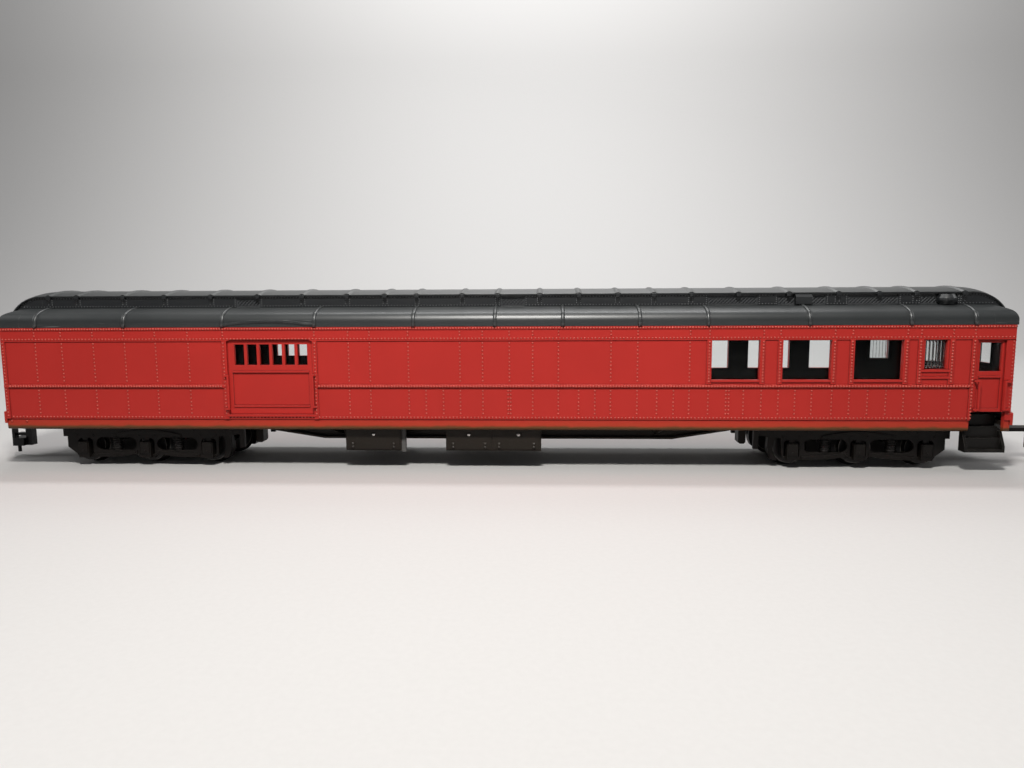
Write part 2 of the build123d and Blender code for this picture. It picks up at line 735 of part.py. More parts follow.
def roof_end():
    # The deck's outer line turned round the bow, mitred with the deck along the sides.
    shift = BOW_X + BOW_R + EAVE_OUT - DECK_HALF
    above = CLER_BASE_Z + 1
    below = EAVE_Z - 1
    curves, foot, crest = deck_line(0, lambda y, z: (shift + y, 0, z))
    wrap_face = make_face(curves + [
        Polyline([crest, (crest[0], 0, above), (BOW_X, 0, above), (BOW_X, 0, below), (foot[0], 0, below), foot]),
    ])
    wrap = revolve(wrap_face, Axis((BOW_X, 0, 0), (0, 0, 1)))
    near, near_foot, near_crest = deck_line(0, lambda y, z: (0, -y, z))
    far, far_foot, far_crest = deck_line(0, lambda y, z: (0, y, z))
    along = make_face(near + far + [Line(near_crest, far_crest), Line(near_foot, far_foot)])
    reach = HALF_L + 3 * END_BOW
    waste = block(ROOF_END_X - 1, reach + 1, -BODY_W, BODY_W, below - 1, above + 1) - wrap
    deck = extrude_x(along, ROOF_END_X, reach) - waste
    return deck + hood()


def vent_screen(x, width):
    # A frame of crossed diagonal bars, let into the clerestory wall below an open slot.
    y0 = CLER_HALF - VENT_BACK
    plate = block(x - width / 2, x + width / 2, y0, y0 + SCREEN_T, VENT_Z, VENT_Z + SCREEN_H)
    hole = block(x - width / 2 + SCREEN_RIM, x + width / 2 - SCREEN_RIM, y0 - 1, y0 + 1,
                 VENT_Z + SCREEN_RIM, VENT_Z + SCREEN_H - SCREEN_RIM)
    bars = []
    lean = SCREEN_H
    count = int((width + lean) / SCREEN_PITCH)
    for i in range(count + 1):
        foot = x - width / 2 - lean + i * SCREEN_PITCH
        bars.append(extrude_y(xz_face([(foot, VENT_Z), (foot + SCREEN_BAR, VENT_Z),
                                       (foot + lean + SCREEN_BAR, VENT_Z + SCREEN_H),
                                       (foot + lean, VENT_Z + SCREEN_H)]), y0, y0 + SCREEN_T))
    grid = Compound(children=bars) & plate
    rim = plate - hole
    return rim.fuse(*grid.solids())


def roof_vents():
    x0 = BOX_VENT_X - BOX_VENT_W / 2
    box_vent = block(x0, x0 + BOX_VENT_W, CLER_HALF, CLER_HALF + BOX_VENT_D,
                     BOX_VENT_Z, BOX_VENT_Z + BOX_VENT_H)
    top_edges = box_vent.edges().filter_by(Axis.X).group_by(Axis.Z)[-1]
    box_vent = chamfer(top_edges.sort_by(Axis.Y)[-1], BOX_VENT_CHAMFER)
    z0 = ROUND_VENT_Z
    h = ROUND_VENT_H
    r = ROUND_VENT_R
    low, high = ROUND_VENT_RIM
    cap = xz_face([(0, z0), (r * ROUND_VENT_FOOT, z0), (r, z0 + h * low), (r, z0 + h * high),
                   (r * ROUND_VENT_CROWN, z0 + h), (0, z0 + h)])
    round_vent = Pos(ROUND_VENT_X, CLER_HALF + ROUND_VENT_OUT, 0) * revolve(cap, Axis.Z)
    round_vent -= block(ROUND_VENT_X - 2 * r, ROUND_VENT_X + 2 * r, 0, CLER_HALF, z0 - 1, z0 + h + 1)
    return [box_vent, mirror_y(box_vent), round_vent, mirror_y(round_vent)]


# Floor and underframe


def floor_pan():
    pan = block(-HALF_L - END_BOW, HALF_L + END_BOW, -INNER_Y, INNER_Y, FLOOR_Z, FLOOR_Z + FLOOR_T)
    keep = block(-HALF_L + END_BOW, HALF_L - END_BOW, -INNER_Y, INNER_Y, FLOOR_Z - 1, FLOOR_Z + 3)
    ends = bow(-WALL, FLOOR_Z - 1, FLOOR_Z + 3) & block(HALF_L - END_BOW, HALF_L + END_BOW, -INNER_Y, INNER_Y,
                                                        FLOOR_Z - 1, FLOOR_Z + 3)
    pan = pan & (keep + ends + mirror_x(ends))
    well = block(WELL_X0, WELL_X1, STEP_BACK, INNER_Y + 1, FLOOR_Z - 1, FLOOR_Z + FLOOR_T + 1)
    return pan - well - mirror_y(well)


def centre_sill():
    # A deep web with a wider flange along its curved foot, and two cross bearers.
    web = extrude_y(xz_face([
        (-BELLY_END, FLOOR_Z),
        (-BELLY_END, BELLY_END_Z),
        (-BELLY_HALF, BELLY_Z),
        (BELLY_HALF, BELLY_Z),
        (BELLY_END, BELLY_END_Z),
        (BELLY_END, FLOOR_Z),
    ]), -WEB_HALF, WEB_HALF)
    foot = extrude_y(xz_face([
        (-BELLY_END, BELLY_END_Z + FLANGE_T),
        (-BELLY_END, BELLY_END_Z),
        (-BELLY_HALF, BELLY_Z),
        (BELLY_HALF, BELLY_Z),
        (BELLY_END, BELLY_END_Z),
        (BELLY_END, BELLY_END_Z + FLANGE_T),
        (BELLY_HALF, BELLY_Z + FLANGE_T),
        (-BELLY_HALF, BELLY_Z + FLANGE_T),
    ]), -FLANGE_HALF, FLANGE_HALF)
    sill = web + foot
    tip_z = SKIRT_Z - BEARER_TIP_DROP
    bearer = yz_face([(-BOX_Y, FLOOR_Z), (-BOX_Y, tip_z), (-FLANGE_HALF, BEARER_Z), (FLANGE_HALF, BEARER_Z),
                      (BOX_Y, tip_z), (BOX_Y, FLOOR_Z)])
    for x in (-BEARER_X, BEARER_X):
        sill += extrude_x(bearer, x - BEARER_T / 2, x + BEARER_T / 2)
    return sill


def hanger():
    hang = block(HANGER_X - HANGER_W / 2, HANGER_X + HANGER_W / 2, -HANGER_HALF, HANGER_HALF, HANGER_Z, FLOOR_Z)
    feet = hang.edges().filter_by(Axis.Y).group_by(Axis.Z)[0]
    return chamfer(feet, HANGER_CHAMFER)


def battery_boxes():
    boxes = []
    for x0, x1 in BATTERY_BOXES:
        box = block(x0, x1, -BOX_Y, -BOX_Y + BOX_DEPTH, BOX_Z, FLOOR_Z)
        for lid_x0, lid_x1 in LIDS:
            if x0 < lid_x0 < x1:
                face_y = -BOX_Y - LID_PROUD
                box += block(lid_x0, lid_x1, face_y, -BOX_Y, BOX_Z + LID_EDGE, SKIRT_Z)
                for clip_x in (lid_x0 + CLIP_INSET, lid_x1 - CLIP_INSET):
                    box += block(clip_x - CLIP_W / 2, clip_x + CLIP_W / 2, face_y - CLIP_PROUD, face_y,
                                 BOX_Z + CLIP_LIFT, BOX_Z + CLIP_LIFT + CLIP_H)
        boxes += [box, mirror_y(box)]
    return boxes


def drain():
    # A flat drain pipe down the end of the first battery box.
    x0 = BATTERY_BOXES[0][1]
    y0 = -BOX_Y + DRAIN_SET_BACK
    return block(x0, x0 + DRAIN_W, y0, y0 + DRAIN_W, BOX_Z - DRAIN_DROP, FLOOR_Z)


def steps():
    x0 = WELL_X0
    x1 = WELL_X1
    back = STEP_BACK
    stair = None
    for k, (front, top) in enumerate(STEP_TREADS):
        tread = block(x0, x1, back, front, top - STEP_T, top)
        stair = tread if stair is None else stair + tread
        if k + 1 < len(STEP_TREADS):
            stair += block(x0, x1, front - STEP_T, front, STEP_TREADS[k + 1][1] - STEP_T, top)
            back = front - STEP_T
    cheek_top = SKIRT_Z - CHEEK_GAP
    cheek = yz_face([(HALF_W - CHEEK_DEPTH, cheek_top), (HALF_W - CHEEK_SET_BACK, cheek_top),
                     (HALF_W, CHEEK_FRONT_Z), (HALF_W, CHEEK_FOOT), (HALF_W - CHEEK_DEPTH, CHEEK_FOOT)])
    stair += extrude_x(cheek, x0 - CHEEK_T, x0)
    stair += extrude_x(cheek, x1, x1 + CHEEK_T)
    return stair


def king_pin():
    seat = PLATE_TOP + SEAT_GAP
    pin = drum(PIN_R, TRUCK_X, 0, PIN_HEAD_Z, FLOOR_Z)
    boss = drum(BOSS_R, TRUCK_X, 0, seat, FLOOR_Z)
    head = drum(PIN_HEAD_R, TRUCK_X, 0, PIN_HEAD_Z, PIN_HEAD_Z + PIN_HEAD_H)
    return pin + boss + head


# Glass


def pane(cx, z0, width, height):
    half = width / 2 + GLASS_LAP
    return block(cx - half, cx + half, INNER_Y - GLASS_T, INNER_Y, z0 - GLASS_LAP, z0 + height + GLASS_LAP)


def window_glass():
    run = (WINDOW_COUNT - 1) * WINDOW_PITCH
    panes = [
        pane(WINDOWS_X[0] - run / 2, WINDOW_Z, WINDOW_W + run, WINDOW_H),
        pane(VEST_DOOR_X, VEST_WIN_Z, VEST_WIN_W, VEST_WIN_H),
        pane(PANES_X, PANE_Z, PANE_W + PANE_PITCH * (PANE_COUNT - 1), PANE_H),
    ]
    panes += [mirror_y(p) for p in panes]
    inner_x = END_DOOR_X - END_DOOR_T
    half = END_DOOR_W / 2
    end = block(inner_x - GLASS_T, inner_x, -half, half,
                END_WIN_Z - GLASS_LAP, END_WIN_Z + END_WIN_H + GLASS_LAP)
    return panes + [end, mirror_x(end)]


# Trucks


def wheelset(x):
    outer = WHEEL_BACK + WHEEL_WIDTH
    tip = BOX_OUT - STUB_BACK
    half = [
        (0, -tip),
        (STUB_R, -tip),
        (STUB_R, -outer),
        (TREAD_R, -outer),
        (TREAD_R, -WHEEL_BACK - FLANGE_WIDTH),
        (TREAD_R + FLANGE_DEPTH, -WHEEL_BACK),
        (AXLE_R, -WHEEL_BACK),
    ]
    full = half + [(r, -y) for r, y in reversed(half)]
    face = make_face(Polyline([(r, y, 0) for r, y in full], close=True))
    return Pos(x, 0, AXLE_Z) * revolve(face, Axis.Y)


def frame_outline():
    foot = PEDESTAL_W / 2 - PEDESTAL_TAPER
    edge = [
        (-TAIL_END, FRAME_TOP),
        (PLATE_END, FRAME_TOP),
        (PLATE_END, PLATE_LOW),
        (FRAME_END, PLATE_LOW),
        (FRAME_END, AXLE_Z),
        (AXLE_SPACING + PEDESTAL_W / 2, FRAME_FOOT + PEDESTAL_RISE),
        (AXLE_SPACING + foot, FRAME_FOOT),
        (AXLE_SPACING - foot, FRAME_FOOT),
        (AXLE_SPACING / 2, BAND_MID_Z),
        (foot + BAND_RUN, BAND_RISE_Z),
        (foot, FRAME_FOOT),
        (-foot, FRAME_FOOT),
        (-foot - BAND_RUN, BAND_RISE_Z),
        (-AXLE_SPACING / 2, BAND_MID_Z),
        (-AXLE_SPACING + foot, FRAME_FOOT),
        (-AXLE_SPACING - foot, FRAME_FOOT),
        (-AXLE_SPACING - PEDESTAL_W / 2, FRAME_FOOT + PEDESTAL_RISE),
        (-AXLE_SPACING - PEDESTAL_W / 2 - TAIL_STEP, TAIL_LOW - TAIL_STEP_H),
        (-TAIL_END + TAIL_LIP, TAIL_LOW),
        (-TAIL_END + TAIL_LIP, AXLE_Z),
        (-TAIL_END, AXLE_Z),
    ]
    return xz_face(edge)


def journal(u):
    # The box hangs in its pedestal arch, open either side of it, with a lid on its front.
    box = block(u - BOX_W / 2, u + BOX_W / 2, FRAME_IN, BOX_OUT - LID_T, BOX_LOW, BOX_TOP)
    box += block(u - BOX_W / 2 + LID_INSET, u + BOX_W / 2 - LID_INSET, BOX_OUT - LID_T, BOX_OUT,
                 BOX_LOW + LID_LIFT, BOX_TOP - LID_DROP)
    box += block(u - BOX_W / 4, u + BOX_W / 4, FRAME_IN, FRAME_OUT, BOX_TOP, ARCH_TOP)
    return box


def coil(u):
    return drum(COIL_R, u, FRAME_IN + COIL_INSET, BAND_TOP - SUNK, BAND_TOP + OVAL_H + SUNK)


def brake_shoe():
    # A crescent hung from the frame's tail, hugging the tread of the inner wheel.
    inner_r = TREAD_R + SHOE_GAP
    y0 = WHEEL_BACK + FLANGE_WIDTH + SHOE_SIDE_GAP
    ring = cross_drum(inner_r + SHOE_T, -AXLE_SPACING, AXLE_Z, y0, FRAME_IN)
    ring -= cross_drum(inner_r, -AXLE_SPACING, AXLE_Z, y0 - 1, FRAME_IN + 1)
    limit = -AXLE_SPACING - PEDESTAL_W / 2 - SHOE_END
    shoe = ring & block(-TAIL_END, limit, y0 - 1, FRAME_IN + 1, AXLE_Z - SHOE_REACH, AXLE_Z + SHOE_REACH)
    hanger_u = -AXLE_SPACING - inner_r - SHOE_T
    return shoe + block(hanger_u + SHOE_HANGER[0], hanger_u + SHOE_HANGER[1], FRAME_IN - SHOE_HANGER_IN,
                        FRAME_IN + SHOE_HANGER_SUNK, AXLE_Z, TAIL_LOW + SHOE_HANGER_RISE)


def side_frame():
    frame = extrude_y(frame_outline(), FRAME_IN, FRAME_OUT)
    for u in (-OVAL_X, OVAL_X):
        slot = extrude(SlotOverall(OVAL_W, OVAL_H), 3, both=True)
        frame -= Pos(u, FRAME_IN, BAND_TOP + OVAL_H / 2) * Rot(90, 0, 0) * slot
    for name, u in AXLES:
        arch = Pos(u, FRAME_IN, 0) * block(-ARCH_W / 2, ARCH_W / 2, -1, 3, BOX_LOW + ARCH_LIFT, ARCH_TOP)
        arch = fillet(arch.edges().filter_by(Axis.Y).group_by(Axis.Z)[-1], ARCH_FILLET)
        frame -= arch
        frame += journal(u)
        frame -= cross_drum(STUB_R + RUN_GAP, u, AXLE_Z, FRAME_IN - 1, BOX_OUT - BORE_BACK)
    for s in (-1, 1):
        band = xz_face([(s * BAND_IN_U, BAND_RISE_Z), (s * AXLE_SPACING / 2, BAND_MID_Z),
                        (s * BAND_OUT_U, BAND_OUT_LOW), (s * BAND_OUT_U, BAND_OUT_TOP),
                        (s * AXLE_SPACING / 2, BAND_MID_TOP), (s * BAND_IN_U, BAND_TOP)])
        frame += extrude_y(band, FRAME_OUT - SUNK, FRAME_OUT + BAND_PROUD)
    leaf = []
    for z in (0, SPRING_T):
        leaf.append([(-SPRING_HALF, 0, SPRING_END_Z - z), (0, 0, SPRING_MID_Z + SPRING_LIFT - z),
                     (SPRING_HALF, 0, SPRING_END_Z - z)])
    spring = make_face([ThreePointArc(*leaf[0]), Line(leaf[0][2], leaf[1][2]), ThreePointArc(*leaf[1]),
                        Line(leaf[1][0], leaf[0][0])])
    frame += extrude_y(spring, FRAME_OUT - SUNK, FRAME_OUT + SPRING_PROUD)
    for u in (-OVAL_X, OVAL_X):
        frame += coil(u)
    return frame + brake_shoe()


def bolster():
    inner = AXLE_SPACING / 2 + TRANSOM_W / 2
    solid = block(-inner, inner, -CENTRE_PLATE_W / 2, CENTRE_PLATE_W / 2, TRANSOM_TOP, PLATE_TOP)
    for u in (-AXLE_SPACING / 2, AXLE_SPACING / 2):
        beam = block(u - TRANSOM_W / 2, u + TRANSOM_W / 2, -FRAME_IN, FRAME_IN, TRANSOM_LOW, TRANSOM_TOP)
        for s in (-1, 1):
            beam -= block(u - COIL_R - COIL_ROOM, u + COIL_R + COIL_ROOM, s * FRAME_IN - COIL_NOTCH,
                          s * FRAME_IN + COIL_NOTCH, TRANSOM_LOW - 1, BAND_TOP + OVAL_H + COIL_TOP_ROOM)
        solid += beam
    return solid - drum(PIN_R + RUN_GAP, 0, 0, TRANSOM_LOW, PLATE_TOP + 1)


def tongue(reach):
    # A flat strap from the bolster over the outer axle, ending in the coupler's pin.
    start = AXLE_SPACING / 2 + TRANSOM_W / 2
    top = TONGUE_Z + TONGUE_T
    strap = block(start, reach, -TONGUE_HALF, TONGUE_HALF, TONGUE_Z, top)
    strap += drum(TONGUE_HALF, reach, 0, TONGUE_Z, top)
    return strap + drum(COUPLER_PIN_R, reach, 0, COUPLER_PIN_Z, TONGUE_Z + SUNK)


def coupler():
    # Hook-and-horn coupler under the tongue's end. Its pin is at X = 0. It faces +X, with the hook at +Y.
    x1 = COUPLER_BLOCK - COUPLER_BACK
    x2 = HEAD_FRONT - FACE_T
    front = HEAD_FRONT + HORN_OUT
    middle = BLOCK_HALF / 2
    solid = block(-COUPLER_BACK, x1, -BLOCK_HALF, BLOCK_HALF, COUPLER_LOW, COUPLER_TOP)
    solid += block(x1, HEAD_FRONT, -HEAD_HALF, HEAD_HALF, COUPLER_LOW, COUPLER_LOW + HEAD_H)
    solid += block(x1, x2, -middle, BLOCK_HALF, ARM_Z, ARM_Z + ARM_H)
    solid += block(x2, HEAD_FRONT, middle, HEAD_HALF, COUPLER_LOW, HOOK_TOP)
    horn = make_face(Polyline([(x2, -HEAD_HALF, 0), (x2, -middle, 0), (front, -2 * middle, 0),
                               (front, -HEAD_HALF, 0)], close=True))
    solid += Pos(0, 0, COUPLER_LOW) * extrude(horn, HEAD_H, dir=(0, 0, 1))
    solid += drum(TRIP_R, x2, middle, TRIP_Z, COUPLER_LOW + SUNK)
    return solid - drum(COUPLER_PIN_R + RUN_GAP, 0, 0, COUPLER_LOW - 1, COUPLER_TOP + 1)


near_wall = mirror_y(side_wall())
save("side_wall_near", near_wall)
save("side_wall_far", side_wall())
save("baggage_doors", baggage_door(), mirror_y(baggage_door()))
save("vestibule_doors", vestibule_door(), mirror_y(vestibule_door()))
save("hand_rails", *hand_rails())
save("vestibule_end_wall", end_wall())
save("baggage_end_wall", mirror_x(end_wall()))
save("end_doors", end_door(), mirror_x(end_door()))
save("diaphragms", diaphragm(), mirror_x(diaphragm()))
save("end_sills", end_sill(), mirror_x(end_sill()))
save("lower_deck_roof", lower_deck(), mirror_y(lower_deck()))
save("clerestory_roof", clerestory_roof())
save("roof_ends", roof_end(), mirror_x(roof_end()))
screens = [vent_screen(x, width) for x, width in SCREENS]
save("vent_screens", *screens, *[mirror_y(s) for s in screens])
save("roof_vents", *roof_vents())
save("floor_pan", floor_pan())
save("centre_sill", centre_sill())
save("hanger_brackets", hanger(), mirror_x(hanger()))
save("battery_boxes", *battery_boxes())
save("drain_pipes", drain(), mirror_y(drain()))
save("vestibule_steps", steps(), mirror_y(steps()))
save("window_glass", *window_glass())
lavatory_pane = pane(LAV_X, LAV_Z, LAV_W, LAV_H)
save("lavatory_glass", lavatory_pane, mirror_y(lavatory_pane))
save("king_pins", king_pin(), mirror_x(king_pin()))
for end in ("vestibule", "baggage"):
    reach = HALF_L + COUPLER_REACH[end] - TRUCK_X
    flip = mirror_x if end == "baggage" else (lambda s: s)
    turn = Rot(0, 0, 180 if end == "baggage" else 0)
    place = Pos(TRUCK_X, 0, 0)
    save(end + "_truck_side_frames", flip(place * side_frame()), flip(place * mirror_y(side_frame())))
    save(end + "_truck_bolster", flip(place * bolster()))
    save(end + "_truck_tongue", flip(place * tongue(reach)))
    save(end + "_coupler", turn * place * Pos(reach, 0, 0) * coupler())
    for name, u in AXLES:
        save(end + "_wheelset_" + name, flip(wheelset(TRUCK_X + u)))
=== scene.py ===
# %% [markdown]
# This file dresses a model railway combine car, one step to a cell: an HO scale toy, 281 mm long, with a red
# riveted side, a dark roof and black six-wheel trucks. Every moulded piece of it is a node of the frame. What
# is left to Blender is the finish of each plastic, and the small things that a mould adds: rivets, bolt
# heads, wire screens, flutes, coil springs and scratches.

# %% Load the frame
import json
import math

import bmesh
import bpy
from mathutils import Matrix, Vector


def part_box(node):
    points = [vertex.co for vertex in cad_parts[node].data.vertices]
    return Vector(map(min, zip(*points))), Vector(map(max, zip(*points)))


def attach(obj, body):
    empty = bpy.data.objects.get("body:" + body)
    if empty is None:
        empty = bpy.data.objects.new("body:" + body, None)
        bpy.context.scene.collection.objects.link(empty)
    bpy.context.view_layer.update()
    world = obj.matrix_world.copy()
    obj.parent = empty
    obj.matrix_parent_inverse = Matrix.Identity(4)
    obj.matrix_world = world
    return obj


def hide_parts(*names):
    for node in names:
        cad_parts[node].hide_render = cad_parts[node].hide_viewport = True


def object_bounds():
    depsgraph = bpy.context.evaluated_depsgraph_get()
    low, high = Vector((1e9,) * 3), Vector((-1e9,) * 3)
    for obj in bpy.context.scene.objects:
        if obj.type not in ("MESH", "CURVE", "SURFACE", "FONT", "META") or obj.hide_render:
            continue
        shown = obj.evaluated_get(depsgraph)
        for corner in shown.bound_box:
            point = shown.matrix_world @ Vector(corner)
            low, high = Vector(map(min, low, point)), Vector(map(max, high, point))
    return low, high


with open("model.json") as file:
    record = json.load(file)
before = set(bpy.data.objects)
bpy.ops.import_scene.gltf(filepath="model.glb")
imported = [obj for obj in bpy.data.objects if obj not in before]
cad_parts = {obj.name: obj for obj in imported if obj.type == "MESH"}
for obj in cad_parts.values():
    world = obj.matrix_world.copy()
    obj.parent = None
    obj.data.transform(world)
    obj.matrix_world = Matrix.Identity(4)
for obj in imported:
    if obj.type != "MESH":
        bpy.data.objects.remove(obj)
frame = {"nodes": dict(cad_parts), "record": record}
nodes = frame["nodes"]
scene = bpy.context.scene
cad_low, cad_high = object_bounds()

# %% [markdown]
# Blender counts in metres. A toy is measured in millimetres, so sizes below are in millimetres and multiplied
# by MM. The places of walls, roofs and trucks are read from the boxes of the frame's nodes, so the rivets
# stay on the wall if the wall is moved.

# %% Places read from the frame
MM = 0.001


def box_mm(node):
    low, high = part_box(node)
    return low / MM, high / MM


STRIP_PROUD, BOARD_PROUD, BELT_PROUD, POST_PROUD = 0.3, 0.2, 0.35, 0.2
wall_low, wall_high = box_mm("side_wall_near")
PLATE_Y = -wall_low.y - BELT_PROUD
EAVE_Z, SKIRT_Z = wall_high.z, wall_low.z
BOW_DEPTH = 3.8
end_low, end_high = box_mm("vestibule_end_wall")
BODY_HALF = end_high.x - BOW_DEPTH
deck_low, deck_high = box_mm("lower_deck_roof")
screen_low, screen_high = box_mm("vent_screens")
axle_low, axle_high = box_mm("vestibule_wheelset_middle")
TRUCK_X = (axle_low.x + axle_high.x) / 2
AXLE_Z = (axle_low.z + axle_high.z) / 2
outer_low, outer_high = box_mm("vestibule_wheelset_outer")
AXLE_SPACING = (outer_low.x + outer_high.x) / 2 - TRUCK_X
print("half length and width of the body, truck centres and axle spacing, mm:",
      [round(v, 2) for v in (BODY_HALF, PLATE_Y, TRUCK_X, AXLE_SPACING)])

# %% [markdown]
# A shader tree is a set of nodes with named sockets. This helper adds a node, sets plain values, and links
# any value that is itself a socket, so that a whole node takes one line below.

# %% A helper for shader trees
def add(tree, kind, inputs=None, **settings):
    node = tree.nodes.new(kind)
    for name, value in settings.items():
        setattr(node, name, value)
    for name, value in (inputs or {}).items():
        socket = node.inputs[name]
        if isinstance(value, bpy.types.NodeSocket):
            tree.links.new(value, socket)
        else:
            socket.default_value = value
    return node


def math_node(tree, operation, first, second=0.0, third=0.0):
    return add(tree, "ShaderNodeMath", {0: first, 1: second, 2: third}, operation=operation).outputs[0]


def times(tree, *values):
    product = values[0]
    for value in values[1:]:
        product = math_node(tree, "MULTIPLY", product, value)
    return product


def blend_colours(tree, share, first, second):
    return add(tree, "ShaderNodeMix", {0: share, 6: first, 7: second}, data_type="RGBA").outputs[2]


def ramp(tree, value, low, high):
    inputs = {"Value": value, "From Min": low, "From Max": high, "To Min": 0.0, "To Max": 1.0}
    return add(tree, "ShaderNodeMapRange", inputs, interpolation_type="SMOOTHSTEP").outputs["Result"]


def between(tree, value, low, high, soft):
    # 1 between low and high, falling to 0 over soft on either side
    return times(tree, ramp(tree, value, low - soft, low), ramp(tree, value, high + soft, high))


# %% [markdown]
# Patterns follow the object's own coordinates, so that they stay on the car when it is posed. A mask made
# from a place, such as "below this height", needs the coordinates one by one, and one made from the way a
# face looks needs the normal. These helpers hand them over, places in millimetres.

# %% Places and directions inside a shader
def place(tree):
    return add(tree, "ShaderNodeTexCoord").outputs["Object"]


def place_xyz(tree):
    scaled = add(tree, "ShaderNodeVectorMath", {0: place(tree), "Scale": 1 / MM}, operation="SCALE")
    return add(tree, "ShaderNodeSeparateXYZ", {0: scaled.outputs[0]}).outputs


def normal_xyz(tree):
    facing = add(tree, "ShaderNodeNewGeometry").outputs["Normal"]
    return add(tree, "ShaderNodeSeparateXYZ", {0: facing}).outputs


def noise(tree, scale, detail=2.0, where=None):
    inputs = {"Vector": where or place(tree), "Scale": scale, "Detail": detail}
    return add(tree, "ShaderNodeTexNoise", inputs).outputs["Fac"]


def new_material(name):
    made = bpy.data.materials.new(name)
    made.use_nodes = True
    made.node_tree.nodes.clear()
    return made, made.node_tree


def group_outputs(tree, group):
    return add(tree, "ShaderNodeGroup", node_tree=group).outputs


def new_group(name, inputs, outputs):
    # inputs: the name and default of each number; outputs: the name and kind of each result
    group = bpy.data.node_groups.new(name, "ShaderNodeTree")
    for socket, value in inputs.items():
        made = group.interface.new_socket(socket, in_out="INPUT", socket_type="NodeSocketFloat")
        made.default_value = value
    for socket, kind in outputs.items():
        group.interface.new_socket(socket, in_out="OUTPUT", socket_type="NodeSocket" + kind)
    return group, add(group, "NodeGroupInput").outputs


def finish_material(made, surface, **plain):
    tree = made.node_tree
    shader = add(tree, "ShaderNodeBsdfPrincipled", surface)
    for name, value in plain.items():
        shader.inputs[name.replace("_", " ")].default_value = value
    add(tree, "ShaderNodeOutputMaterial", {"Surface": shader.outputs[0]})
    return made


# %% [markdown]
# Moulded edges are never razor sharp: each catches a thin line of light, and handling rubs the colour thin
# there. The Bevel node finds edges by looking a short way round each point. This group compares its rounded
# normal with the true one and gives back a mask and the rounded normal, so any material can have soft, rubbed
# edges without an extra face.

# %% Shader group: soft, rubbed edges
EDGE_STARTS, EDGE_FULL = 0.995, 0.85
PATCH_LOW, PATCH_HIGH = 0.42, 0.60


def make_edge_group():
    group, given = new_group("rubbed_edges", {"Radius": 0.12 * MM, "Patch Scale": 420.0, "Amount": 1.0},
                             {"Mask": "Float", "Normal": "Vector"})
    rounded = add(group, "ShaderNodeBevel", {"Radius": given["Radius"]}, samples=4).outputs[0]
    flat = add(group, "ShaderNodeNewGeometry").outputs["Normal"]
    agreement = add(group, "ShaderNodeVectorMath", {0: rounded, 1: flat}, operation="DOT_PRODUCT")
    edge = ramp(group, agreement.outputs["Value"], EDGE_STARTS, EDGE_FULL)
    patches = noise(group, given["Patch Scale"])
    broken = times(group, edge, ramp(group, patches, PATCH_LOW, PATCH_HIGH), given["Amount"])
    add(group, "NodeGroupOutput", {"Mask": broken, "Normal": rounded})
    return group


edge_group = make_edge_group()

# %% [markdown]
# A toy on a shelf gathers dust, which lies where a surface looks up and stays thin on upright walls. This
# second group mixes that slope with two sizes of noise, and gives a fine height for the grain of satin
# plastic and sprayed paint.

# %% Shader group: dust and grain
LEDGE_STARTS, LEDGE_FULL = 0.05, 1.0
CLOUD_LOW, CLOUD_HIGH = 0.30, 0.75
SPECK_LOW, SPECK_HIGH, SPECK_SHARE = 0.66, 0.74, 0.35


def make_dust_group():
    group, given = new_group("dust_and_grain", {"Cloud Scale": 38.0, "Grain Scale": 2600.0, "Amount": 0.3},
                             {"Dust": "Float", "Clouds": "Float", "Grain": "Float"})
    clouds = noise(group, given["Cloud Scale"], 4.0)
    grain = noise(group, given["Grain Scale"], 3.0)
    ledge = ramp(group, normal_xyz(group)[2], LEDGE_STARTS, LEDGE_FULL)
    loose = times(group, ledge, ramp(group, clouds, CLOUD_LOW, CLOUD_HIGH))
    specks = times(group, ramp(group, grain, SPECK_LOW, SPECK_HIGH), SPECK_SHARE)
    dust = times(group, math_node(group, "ADD", loose, specks), given["Amount"])
    add(group, "NodeGroupOutput", {"Dust": dust, "Clouds": clouds, "Grain": grain})
    return group


dust_group = make_dust_group()

# %% [markdown]
# Fingers that lift the car leave fine scratches along the eaves of its roof. A scratch is noise stretched
# many times along the car, of which only the thin peaks show. The group gives the mask, and the material says
# where they may lie.

# %% Shader group: long scratches
PEAK_WIDTH = 0.05


def make_scratch_group():
    group, given = new_group("long_scratches", {"Length Scale": 90.0, "Width Scale": 3200.0, "Rarity": 0.60},
                             {"Mask": "Float"})
    stretch = add(group, "ShaderNodeCombineXYZ", {"X": given["Length Scale"], "Y": given["Width Scale"],
                                                  "Z": given["Width Scale"]}).outputs[0]
    where = add(group, "ShaderNodeVectorMath", {0: place(group), 1: stretch}, operation="MULTIPLY").outputs[0]
    sharp = math_node(group, "ADD", given["Rarity"], PEAK_WIDTH)
    mask = add(group, "ShaderNodeMapRange", {"Value": noise(group, 1.0, where=where),
                                             "From Min": given["Rarity"], "From Max": sharp})
    add(group, "NodeGroupOutput", {"Mask": mask.outputs["Result"]})
    return group


scratch_group = make_scratch_group()

# %% [markdown]
# Corners beside a belt or a post see little of what is round them, which the Ambient Occlusion node measures
# within a short reach. The group turns that into a mask for a darker tone: painted shade in the corners.

# %% Shader group: painted shade in corners
CORNER_STARTS, CORNER_FULL = 0.95, 0.55


def make_corner_group():
    group, given = new_group("painted_corner_shade", {"Reach": 0.6 * MM, "Amount": 0.75}, {"Mask": "Float"})
    seen = add(group, "ShaderNodeAmbientOcclusion", {"Distance": given["Reach"]}, samples=6).outputs["AO"]
    mask = times(group, ramp(group, seen, CORNER_STARTS, CORNER_FULL), given["Amount"])
    add(group, "NodeGroupOutput", {"Mask": mask})
    return group


corner_shade_group = make_corner_group()

